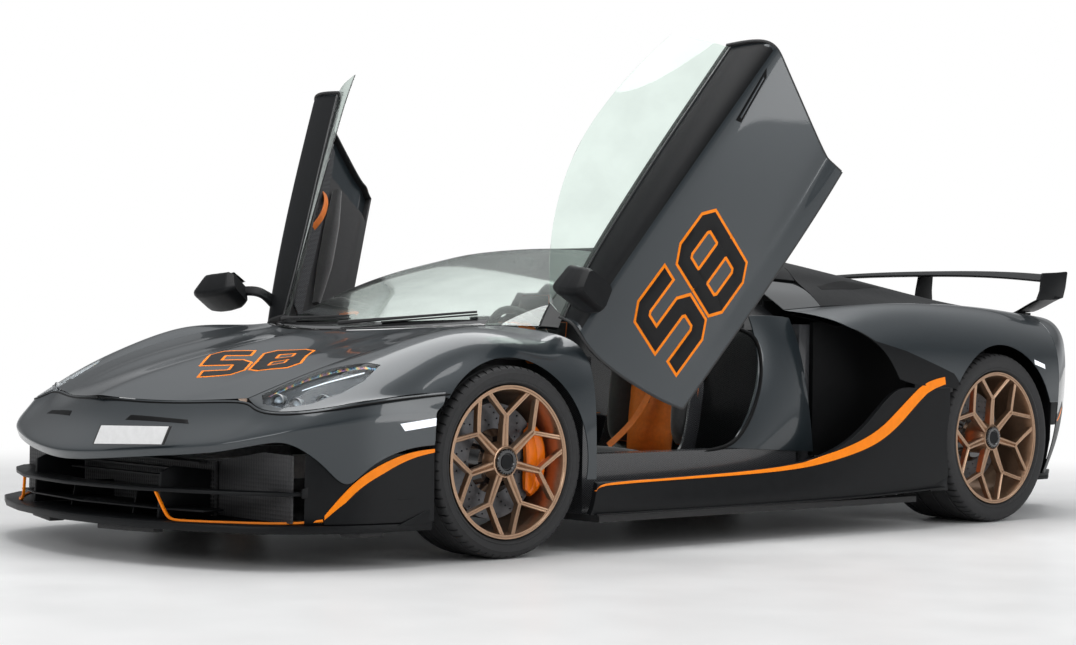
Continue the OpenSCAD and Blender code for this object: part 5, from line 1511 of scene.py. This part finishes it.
print("door trim done")

# %% [markdown]
# The mirror stands on a thin arm from the door's shoulder. Its housing is an aerodynamic teardrop:
# a rounded block that is fuller at the front. It is swept along its length, with the section growing and shrinking.

# %% Mirrors and wipers
for hand, s in SIDES:
    body = f"door_{hand}"
    at = [[1006, 556, 926], [1030, 548, 928], [1080, 548, 930], [1130, 556, 929], [1172, 568, 927],
        [1189, 578, 926]]
    shell = sweep(f"mirror_shell_{hand}", at, rounded(59, 71, 0.4, 6), SATIN_BLACK, body, "black_panel", side=s,
        steps=6, up=(0, 0, 1), grow=[0.74, 0.96, 1, 1, 0.95, 0.8])
    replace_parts(on_door(shell), f"mirror_{hand}")
    glass_at = mm([[1022, 613, 890], [1165, 613, 896], [1160, 612, 962], [1026, 612, 966]])
    ring = np.concatenate([glass_at, glass_at + [0, 2.5 * MM, 0]]) * [s, 1, 1]
    faces = [[0, 1, 5, 4], [1, 2, 6, 5], [2, 3, 7, 6], [3, 0, 4, 7], [3, 2, 1, 0], [4, 5, 6, 7]]
    on_door(soften(add_mesh(f"mirror_glass_{hand}", ring, faces, MIRROR, body, "glass"), 1))
    arm = sweep(f"mirror_arm_{hand}", [[938, 560, 792], [948, 566, 842], [976, 572, 868], [1030, 574, 882],
        [1070, 574, 890]], rounded(9, 22, 0.8), SATIN_BLACK, body, "black_panel", side=s, steps=6, up=(0, 1, 0),
        grow=[1.3, 1, 1, 1, 0.9])
    on_door(arm)
screen_skin = skin_of("windscreen_glass")
frit = [[-630, 178, 1300], [-480, 92, 1300], [-260, 0, 1300], [0, -48, 1300], [260, 0, 1300], [480, 92, 1300],
    [630, 178, 1300]]
for hand, s in SIDES:
    # a dark gutter under the joint of lid and glass
    cowl = [[x, y + 30, z - 16] for x, y, z in SCREEN_NET[0][:4]]
    sweep(f"screen_cowl_{hand}", cowl, rounded(16, 3, 0.6), DUCT_BLACK_AND_SHADE, side=s, steps=6)
ribbon("screen_edge_print", frit, [60, 64, 70, 74, 70, 64, 60], screen_skin, BLACK_EDGE, lift=0.8, slot="glass",
    towards=(0, 0, -1))
for name, line in (("a", [[60, -50, 800], [230, 0, 830], [420, 95, 850], [560, 190, 870]]),
        ("b", [[-540, 125, 800], [-380, 50, 830], [-180, 5, 850], [20, 5, 880]])):
    path = mm(smooth_line(line, 6))
    lifted = dropped(path, screen_skin, 16)
    blade_line = ((lifted - [0, FRONT_AXLE_Y, 0]) / MM).tolist()
    sweep(f"wiper_arm_{name}", blade_line, rounded(5, 5, 0.6), MOULDED, steps=0, grow=[1.6, 1, 0.8])
    low = dropped(path[6:], screen_skin, 5)
    sweep(f"wiper_rubber_{name}", ((low - [0, FRONT_AXLE_Y, 0]) / MM).tolist(), rounded(6, 3, 0.6), MOULDED, steps=0)
print("mirrors and wipers done")

# %% [markdown]
# ## Cabin
# The seats are carbon buckets with sewn pads. A pad is a closed form: crowned on its face, pinched to a seam
# round its edge, and pulled down along its sewn channels. All of that is a height over a flat sheet, so one
# formula makes every pad. A cord along the edge hides the seam, as a trimmer would do it.

# %% Pads
def pad(name, centre, along, half_w, half_l, thick, material, side=1, body="body", channels=(), crown=0.5,
        curl=0.0, cord=None):
    """A sewn pad: `along` is its length direction, its width runs across the car, and curl bends its sides."""
    y = unit(np.array(along, float))
    x = np.array([1.0, 0, 0])
    z = np.cross(x, y)
    u, v = np.meshgrid(np.sin(np.linspace(-1, 1, 29) * np.pi / 2), np.sin(np.linspace(-1, 1, 37) * np.pi / 2))
    edge = ((1 - np.abs(u) ** 4) * (1 - np.abs(v) ** 6)) ** 0.45
    h = thick * edge * (1 - crown + crown * (1 - u * u) * (1 - 0.6 * v * v))
    for c in channels:
        h = h - 0.22 * thick * np.exp(-(((v - c) * half_l) / 7) ** 2) * edge
    squeeze = 1 - 0.06 * v * v
    flat = (np.asarray(centre, float) + (u * half_w * squeeze)[..., None] * x + (v * half_l)[..., None] * y
        + (curl * u * u)[..., None] * z)
    top, low = flat + h[..., None] * z, flat - 0.25 * h[..., None] * z
    rows, cols = u.shape
    n = rows * cols
    verts = mm(np.concatenate([top.reshape(-1, 3), low.reshape(-1, 3)]))
    faces = [list(f) for f in grid_faces(rows, cols)] + [list(f[::-1]) for f in grid_faces(rows, cols, n)]
    piece = add_mesh(name, verts * [side, 1, 1], faces, material, body, "seat_leather", 60)
    if cord:
        ring = np.concatenate([flat[0], flat[1:, -1], flat[-1, -2::-1], flat[-2:0:-1, 0]])
        sweep(f"{name}_cord", ring.tolist(), disc_section(2.2, 6), cord, body, "seat_leather", side=side, steps=0,
            up=z, closed=True)
    return piece


for hand, s in SIDES:
    seat = f"seat_{hand}"
    shell_line = [[400, 575, 268], [400, 700, 232], [400, 900, 205], [400, 1110, 200], [400, 1235, 240],
        [400, 1296, 360], [400, 1328, 560], [400, 1356, 760], [400, 1376, 950]]
    shell_section = [(-232, 86), (-228, 14), (-186, 0), (186, 0), (228, 14), (232, 86), (224, 90), (216, 22),
        (182, 8), (-182, 8), (-216, 22), (-224, 90)]
    shell = sweep(f"{seat}_shell", shell_line, shell_section, CARBON, slot="carbon", side=s, steps=6,
        up=(0, -1, 1), grow=[0.9, 1, 1, 1, 1, 1, 0.98, 0.85, 0.52])
    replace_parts(shell, seat)
    pad(f"{seat}_base", (400, 860, 246), (0, 1, -0.1), 150, 262, 62, ORANGE_HIDE, s, channels=(-0.5, 0, 0.5),
        curl=16, cord=HIDE)
    pad(f"{seat}_back", (400, 1283, 560), (0, 0.13, 1), 132, 262, 52, ORANGE_HIDE, s,
        channels=(-0.6, -0.2, 0.2, 0.6), curl=14, cord=HIDE)
    pad(f"{seat}_head", (400, 1330, 870), (0, 0.1, 1), 92, 66, 44, HIDE, s, curl=8, cord=ORANGE_HIDE)
    for k, way in (("outer", 1), ("inner", -1)):
        for part, centre, along, long, curl in (("base", (400 + way * 188, 860, 268), (0, 1, -0.1), 250, -8),
                ("back", (400 + way * 180, 1276, 580), (0, 0.13, 1), 240, -8)):
            pad(f"{seat}_{part}_bolster_{k}", centre, along, 44, long, 74, HIDE, s, crown=0.3, curl=curl,
                cord=ORANGE_HIDE)
    arms = ([[400, 1208, 500], [400, 1226, 640]], [[400, 1226, 640], [330, 1240, 760]],
        [[400, 1226, 640], [470, 1240, 760]])
    back_skin = skin_of(f"{seat}_back")
    for k, line in enumerate(arms):
        ribbon(f"{seat}_welt_{k}", line, [26, 26], back_skin, HIDE, side=s, lift=1.5, slot="seat_leather",
            towards=(0, 1, 0))
    belt = [[560, 1262, 800], [520, 1215, 700], [460, 1196, 560], [400, 1150, 420], [330, 1080, 330]]
    sweep(f"belt_{hand}", belt, rounded(22, 1.5, 0.8), ORANGE_HIDE, slot="trim", side=s, steps=6, up=(0, -1, 1))
print("seats done")

# %% [markdown]
# The dashboard is a moulded roll from pillar to pillar, with a hood over the driver's dials and a row of
# six-sided vents. The console slopes down from it. The wheel's rim is flattened at the bottom for the knees.

# %% Dashboard, console and steering wheel
DASH = [[164, 674], [172, 744], [240, 757], [330, 758], [396, 742], [417, 712], [404, 674]]
dash = prism("dash_roll", DASH, "x", -698, 698, MOULDED, slot="trim", bevel=9)
# below the roll the dashboard is narrower, because a steered front tyre needs the room
KNEE_PANEL = [[162, 522], [164, 676], [403, 676], [388, 600], [380, 530]]
prism("dash_knee_panel", KNEE_PANEL, "x", -580, 580, MOULDED, slot="trim", bevel=9)
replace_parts(dash, "dashboard")
pad("dash_top_pad", (0, 300, 752), (0, 1, -0.05), 560, 80, 12, HIDE, crown=0.2, cord=ORANGE_HIDE)
binnacle = [[330, 752], [350, 800], [430, 806], [446, 792], [440, 724], [402, 690]]
prism("dial_hood", binnacle, "x", 285, 515, HIDE, slot="trim", bevel=10)
prism("dial_screen", [[300, 716], [500, 716], [490, 786], [310, 786]], "y", 444, 449, GLOSS_BLACK,
    slot="glass")
for k, x in enumerate((-560, -180, -60, 60, 180, 620)):
    hexagon = [[x + 44 * math.cos(a), 690 + 34 * math.sin(a)] for a in around(6)]
    prism(f"vent_ring_{k}", hexagon, "y", 404, 416, ORANGE if k in (0, 5) else GLOSS_BLACK, slot="trim", bevel=3)
    inner_hex = [[x + 34 * math.cos(a), 690 + 25 * math.sin(a)] for a in around(6)]
    prism(f"vent_core_{k}", inner_hex, "y", 410, 418, HOLE_SHADE_MESH, slot="trim", bevel=1)
CONSOLE = [[404, 176], [404, 640], [440, 636], [560, 560], [700, 486], [1000, 452], [1285, 440], [1298, 420],
    [1298, 176]]
console = prism("console_body", CONSOLE, "x", -106, 106, CARBON, slot="trim", bevel=12)
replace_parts(console, "centre_console")
pad("console_rest", (0, 1130, 448), (0, 1, 0), 84, 140, 18, HIDE, crown=0.4, cord=ORANGE_HIDE)
prism("start_flap", [[560, 566], [572, 580], [640, 542], [634, 528]], "x", -28, 28, ORANGE, slot="trim", bevel=3)
for k in range(6):
    low = 700 + 34 * k
    prism(f"console_key_{k}", [[low, 488 - 4 * k], [low, 497 - 4 * k], [low + 22, 494 - 4 * k],
        [low + 22, 484 - 4 * k]], "x", -44, 44, GLOSS_BLACK, slot="trim", bevel=2)
WHEEL_AT, LEAN = np.array([400, 560, 700.0]), math.radians(66)
COLUMN = np.array([0, math.sin(LEAN), math.cos(LEAN)])
WHEEL_UP = np.array([0, -math.cos(LEAN), math.sin(LEAN)])
ring = [WHEEL_AT + 173 * (math.cos(a) * np.array([1, 0, 0]) + max(math.sin(a), -0.8) * WHEEL_UP) for a in around(72)]
rim = sweep("steering_rim", [p.tolist() for p in ring], disc_section(15, 14), HIDE, slot="trim", steps=0,
    up=COLUMN, closed=True)
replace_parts(rim, "steering_wheel")
boss = [(-18, 0.01), (-18, 50), (-4, 60), (10, 54), (20, 34), (23, 0.01)]
lathe_along("steering_boss", mm(WHEEL_AT.tolist()), COLUMN, boss, HIDE, slot="trim")
lathe_along("steering_column", mm(WHEEL_AT.tolist()), COLUMN, [(-196, 30), (-196, 26), (-16, 26), (-16, 40)],
    MOULDED, slot="trim")
for k, a in enumerate((0.1, math.pi - 0.1, -math.pi / 2)):
    way = math.cos(a) * np.array([1, 0, 0]) + math.sin(a) * WHEEL_UP
    reach = 138 if k == 2 else 172
    line = [(WHEEL_AT + d * way - 4 * COLUMN).tolist() for d in (40, 80, 120, reach)]
    sweep(f"steering_spoke_{k}", line, rounded(20, 6, 0.7), CARBON, slot="trim", steps=4, up=COLUMN,
        grow=[1.3, 1, 0.9, 0.8])
mirror_line = [[-112, 872, 1044], [-60, 880, 1046], [0, 882, 1047], [60, 880, 1046], [112, 872, 1044]]
sweep("cabin_mirror", mirror_line, rounded(26, 12, 0.7), MOULDED, slot="trim", steps=6, up=(0, -1, 0.2),
    grow=[0.7, 1, 1, 1, 0.7])
sweep("cabin_mirror_stem", [[0, 860, 1052], [0, 868, 1064], [0, 884, 1076]], disc_section(8), MOULDED, slot="trim",
    steps=4)
for hand, s in SIDES:
    prism(f"tread_plate_{hand}", [[700, 520], [700, 1180], [850, 1190], [850, 520]], "z", 318, 324, CARBON,
        slot="carbon", side=s, bevel=2)
print("cabin done")

# %% [markdown]
# ## Tail
# The rear is black and open, so that the hot air of the engine can leave: mesh between the lamps, two round
# pipes, a closing panel and the fins of the diffuser. The wing is one blade with a plate at each end.

# %% Engine cover and rear deck
cover_skin = skin_of("engine_cover_panel")
for k in range(6):
    y = 2080 + 150 * k
    half = 262 - 8 * k
    line = np.array([[x, y + 26 * (1 - (x / half) ** 2), 1300] for x in np.linspace(-half, half, 25)])
    g = np.array([mm(line + [0, d, 0]) for d in (0, 18, 36, 54)]).transpose(1, 0, 2)
    flat = dropped(g, cover_skin, 0, (0, 0, -1)) + np.array([0, 0, 1]) * np.array([30, 22, 12, 3])[None, :, None] * MM
    verts, faces = panel_mesh(flat, (0, 0, 0, 0), 5 * MM)
    add_mesh(f"cover_louvre_{k}", verts, faces, GLOSS_BLACK, "engine_cover", "black_panel")
spine = [[0, 2010, 1300], [0, 2400, 1300], [0, 2900, 1300]]
ribbon("cover_spine", spine, [60, 46, 30], cover_skin, SATIN_BLACK, "engine_cover", lift=26, slot="black_panel",
    towards=(0, 0, -1))
for hand, s in SIDES:
    # the scoop is a flat dark ribbon on the deck: painted shade of its recess
    scoop = [[620, 2000, 900], [560, 2250, 900], [520, 2500, 900]]
    deck_skin = skin_of(f"buttress_{hand}")
    ribbon(f"deck_scoop_shade_{hand}", [[x, y, 1300] for x, y, z in scoop], [26, 60, 16], deck_skin, DUCT_BLACK_AND_SHADE, side=s,
        lift=0.8, slot="duct", towards=(0, 0, -1))
print("rear deck done")

# %% [markdown]
# The wing's blade is an aerofoil upside down: it pushes the car onto the road. Its section is drawn once and
# carried from tip to tip along a line that bows forwards in the middle.

# %% Wing
SECTION = smooth_line([[2, 0], [1, 5], [60, 16], [130, 23], [196, 27], [203, 23], [130, 8], [70, -5], [20, -8],
    [3, -4], [2, 0]], 4)[:-1]
tips = np.array([[0, 3372, 1070], [300, 3352, 1067], [560, 3322, 1056], [790, 3296, 1036]], float)
line = smooth_line(np.concatenate([tips[:0:-1] * [-1, 1, 1], tips]), 8)
rings = line[:, None] + np.stack([np.zeros(len(SECTION)), SECTION[:, 0], SECTION[:, 1]], -1)[None]
n, m = rings.shape[:2]
i, j = np.meshgrid(np.arange(n - 1), np.arange(m), indexing="ij")
faces = [list(f) for f in np.stack([i * m + j, i * m + (j + 1) % m, (i + 1) * m + (j + 1) % m, (i + 1) * m + j],
    -1).reshape(-1, 4)]
faces += [list(range(m)), list(range(n * m - 1, (n - 1) * m - 1, -1))]
wing = add_mesh("wing_blade", mm(rings).reshape(-1, 3), faces, SATIN_BLACK, slot="black_panel")
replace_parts(wing, "rear_wing")
for hand, s in SIDES:
    plate = [[3268, 948], [3420, 952], [3466, 962], [3484, 1010], [3498, 1078], [3490, 1082], [3420, 1076],
        [3308, 1070], [3300, 1040], [3292, 990]]
    prism(f"wing_plate_{hand}", plate, "x", 791, 801, SATIN_BLACK, side=s, bevel=3)
    foot = [[606, 3440, 898], [640, 3425, 906], [690, 3405, 922], [740, 3385, 940], [795, 3368, 957]]
    sweep(f"wing_arm_{hand}", foot, rounded(62, 5, 0.9), SATIN_BLACK, slot="black_panel", side=s, steps=6,
        up=(-0.3, 0, 1), grow=[0.9, 0.95, 1, 1, 1])
pylon = [[3402, 898], [3420, 1000], [3440, 1074], [3538, 1088], [3530, 1000], [3538, 898]]
prism("wing_pylon", pylon, "x", -9, 9, SATIN_BLACK, bevel=4)
print("wing done")

# %% [markdown]
# The lamps are Y-shaped light guides under red lenses. The fascia is mesh in a frame, and each exhaust pipe
# is a thick tube with a rolled lip, turned round its own axis, with a dark disc inside as painted shade of its depth.

# %% Rear face
frame_up = [[-640, 566], [640, 566], [640, 846], [560, 868], [-560, 868], [-640, 846]]
fascia = prism("rear_mesh", frame_up, "y", 3441, 3452, HOLE_SHADE_MESH, slot="duct", bevel=0)
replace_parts(fascia, "rear_fascia")
for hand, s in SIDES:
    cheek = [[3294, 562], [3440, 562], [3456, 700], [3440, 846], [3300, 820]]
    prism(f"rear_cheek_{hand}", cheek, "x", 634, 642, DUCT_BLACK_AND_SHADE, slot="duct", side=s)
    shoulder = [[640, 562], [796, 562], [796, 815], [640, 815]]
    prism(f"rear_shoulder_{hand}", shoulder, "y", 3292, 3306, DUCT_BLACK_AND_SHADE, slot="duct", side=s)
    case = [[522, 706], [730, 712], [733, 792], [524, 796]]
    lamp = prism(f"tail_lamp_{hand}", case, "y", 3456, 3482, GLOSS_BLACK, slot="tail_lens", side=s, bevel=4)
    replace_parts(lamp, "tail_lamps")
    for k, line in enumerate(([[532, 3484, 752], [600, 3484, 752]], [[600, 3484, 752], [660, 3484, 786],
            [722, 3484, 786]], [[600, 3484, 752], [660, 3484, 718], [722, 3484, 718]])):
        sweep(f"tail_guide_{k}_{hand}", line, rounded(5, 4, 0.6), RED_LENS, slot="tail_lens", side=s, steps=0,
            up=(0, 1, 0))
    tube = [(0, 50), (0, 56), (60, 60), (118, 61.5), (126, 61), (129, 59), (128, 56), (118, 54.5), (60, 53), (0, 50)]
    pipe = lathe_along(f"exhaust_pipe_{hand}", mm([s * 90, 3461, 640]), (0, 1, 0), tube, EXHAUST, 64,
        slot="exhaust_metal")
    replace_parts(pipe, "exhaust")
    # a dark disc closes the pipe inside: painted shade of the pipe's depth
    lathe_along(f"exhaust_shade_disc_{hand}", mm([s * 90, 3461, 640]), (0, 1, 0), [(20, 0.01), (22, 50), (26, 52)],
        DUCT_BLACK_AND_SHADE, 48, slot="duct")
    surround = [(0, 64), (0, 78), (10, 80), (16, 76), (16, 64)]
    lathe_along(f"exhaust_collar_{hand}", mm([s * 90, 3454, 640]), (0, 1, 0), surround + surround[:1], SATIN_BLACK,
        64, slot="black_panel")
prism("rear_roof_strip", mirrored([[0, 3232], [622, 3232], [622, 3470], [560, 3540], [0, 3558]]), "z", 881, 894,
    SATIN_BLACK, bevel=3)
DIFFUSER = [[0, 3122], [858, 3122], [848, 3298], [788, 3388], [688, 3528], [588, 3678], [0, 3698]]
tray = prism("diffuser_tray", mirrored(DIFFUSER), "z", 151, 169, SATIN_BLACK, bevel=3)
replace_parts(tray, "rear_diffuser")
for hand, s in SIDES:
    for k, (x, end) in enumerate(((187, 3771), (427, 3771), (647, 3558))):
        fin = [[3205, 168], [end - 30, 168], [end, 196], [end - 4, 300], [end - 60, 379], [3205, 379]]
        prism(f"diffuser_fin_{k}_{hand}", fin, "x", x - 6, x + 6, SATIN_BLACK, side=s, bevel=2.5)
valance = prism("rear_valance_panel", [[3292, 382], [3560, 382], [3596, 400], [3598, 470], [3570, 556],
    [3292, 558]], "x", -698, 698, SATIN_BLACK, bevel=5)
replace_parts(valance, "rear_valance")
# the socket of the screw-in towing eye
hole = helper_mesh("tow_hole", *prism_mesh((disc_section(9.5, 24) + [250, 470]).tolist(), "y", 3500, 3640))
cut(valance, hole)
drop(hole)
prism("rear_plate", [[-230, 402], [230, 402], [230, 512], [-230, 512]], "y", 3597, 3600, PLATE_WHITE, slot="paint",
    bevel=1)
for k in range(5):
    z = 590 + 52 * k
    prism(f"rear_slat_{k}", [[3452, z], [3464, z + 3], [3464, z + 9], [3452, z + 6]], "x", -505, 505, MOULDED,
        bevel=1)
print("tail done")

# %% [markdown]
# ## The construction pieces that stay
# Some pieces of the construction model already have their final shape: the tub, the ducts, the engine block,
# the floor and the suspension. They only need a finish. The choice follows what each is made of.

# %% Finishes of construction pieces
STAYS = {"tub": CARBON, "side_ducts": DUCT_BLACK_AND_SHADE, "engine_block": CAST, "underfloor": MOULDED,
    "front_suspension": CAST, "rear_suspension": CAST, "front_aero": SATIN_BLACK, "cabin_glass": DARK_GLASS}
shown = []
for name, node in frame["nodes"].items():
    finish_for = STAYS.get(name, MOULDED)
    if not node.material_slots:
        node.data.materials.append(finish_for)
    for place in node.material_slots:
        place.material = finish_for
    if not node.hide_render:
        shown.append(name)
print("construction pieces shown:", sorted(shown))
# %% [markdown]
# The studio: a pale floor that fades to white away from the car, broad soft lamps overhead, at one side and ahead of
# the nose.
# Dark gloss paint shows hardly any colour of its own: it shows what stands around it. So the lamps are
# wide, like the ceiling softboxes of a car studio, and the world is light above with a dim band at eye height, and
# plain white where it is seen straight or through glass.

# %% Studio
def add_light(name, at, aim, size, power, size_y=None):
    data = bpy.data.lights.new(name, "AREA")
    data.shape = "RECTANGLE"
    data.size = size
    data.size_y = size_y or size
    data.energy = power
    lamp = bpy.data.objects.new(name, data)
    lamp.location = at
    lamp.rotation_euler = (Vector(aim) - Vector(at)).to_track_quat("-Z", "Y").to_euler()
    bpy.context.scene.collection.objects.link(lamp)
    return lamp


def add_stage():
    size = 60
    floor_mesh = bpy.data.meshes.new("floor")
    floor_mesh.from_pydata([(-size, -size, 0), (size, -size, 0), (size, size, 0), (-size, size, 0)], [],
        [(0, 1, 2, 3)])
    floor = bpy.data.objects.new("floor", floor_mesh)
    bpy.context.scene.collection.objects.link(floor)
    m, nodes, links, bsdf = new_material("studio_floor")
    cloud = noise(nodes, links, 3)
    links.new(two_tone(nodes, links, cloud, (0.78, 0.78, 0.78, 1), (0.82, 0.82, 0.82, 1)),
        bsdf.inputs["Base Color"])
    links.new(spread(nodes, links, cloud, 0.28, 0.36), bsdf.inputs["Roughness"])
    bsdf.inputs["Specular IOR Level"].default_value = 0.3
    # away from the car the floor fades to the same white as the backdrop, so no horizon line shows
    where = nodes.new("ShaderNodeTexCoord")
    length = add_node(nodes, "ShaderNodeVectorMath", operation="LENGTH")
    links.new(where.outputs["Object"], length.inputs[0])
    ramp = add_node(nodes, "ShaderNodeMapRange", interpolation_type="SMOOTHSTEP")
    ramp.inputs["From Min"].default_value, ramp.inputs["From Max"].default_value = 2.4, 6.0
    links.new(length.outputs["Value"], ramp.inputs["Value"])
    white = add_node(nodes, "ShaderNodeEmission", Color=(1, 1, 1, 1), Strength=1.0)
    mix = nodes.new("ShaderNodeMixShader")
    links.new(ramp.outputs["Result"], mix.inputs["Fac"])
    links.new(bsdf.outputs["BSDF"], mix.inputs[1])
    links.new(white.outputs["Emission"], mix.inputs[2])
    links.new(mix.outputs["Shader"], nodes["Material Output"].inputs["Surface"])
    floor_mesh.materials.append(m)
    world = bpy.data.worlds.new("studio")
    world.use_nodes = True
    bpy.context.scene.world = world
    nodes, links = world.node_tree.nodes, world.node_tree.links
    soft = nodes["Background"]
    # a dim band at eye height and light above, so that the paint shows dark sides and bright crests
    where = nodes.new("ShaderNodeTexCoord")
    split = nodes.new("ShaderNodeSeparateXYZ")
    links.new(where.outputs["Generated"], split.inputs["Vector"])
    sky = nodes.new("ShaderNodeValToRGB")
    for at, level in ((0.0, 0.5), (0.02, 0.16), (0.22, 0.2), (0.55, 0.75), (1.0, 0.95)):
        stop = sky.color_ramp.elements.new(at) if 0 < at < 1 else sky.color_ramp.elements[int(at)]
        stop.color = (level * 0.96, level * 0.98, level, 1)
    links.new(split.outputs["Z"], sky.inputs["Fac"])
    links.new(sky.outputs["Color"], soft.inputs["Color"])
    soft.inputs["Strength"].default_value = 0.7
    plain = nodes.new("ShaderNodeBackground")
    plain.inputs["Color"].default_value = (1, 1, 1, 1)
    plain.inputs["Strength"].default_value = 1.0
    path = nodes.new("ShaderNodeLightPath")
    mix = nodes.new("ShaderNodeMixShader")
    seen = add_node(nodes, "ShaderNodeMath", operation="MAXIMUM")
    links.new(path.outputs["Is Camera Ray"], seen.inputs[0])
    links.new(path.outputs["Is Transmission Ray"], seen.inputs[1])
    links.new(seen.outputs["Value"], mix.inputs["Fac"])
    links.new(soft.outputs["Background"], mix.inputs[1])
    links.new(plain.outputs["Background"], mix.inputs[2])
    links.new(mix.outputs["Shader"], nodes["World Output"].inputs["Surface"])
    add_light("ceiling", (0, 0.0, 4.6), (0, 0, 0), 3.6, 260, 7.0)
    add_light("side_left", (6.5, 1.0, 2.9), (0, 0.3, 0.6), 1.8, 130, 6.0)
    add_light("nose_fill", (2.0, -8.0, 3.0), (0, -1.0, 0.4), 5.0, 110, 2.0)
    bpy.context.scene.view_settings.view_transform = "Standard"


add_stage()
drop(*arch.values())
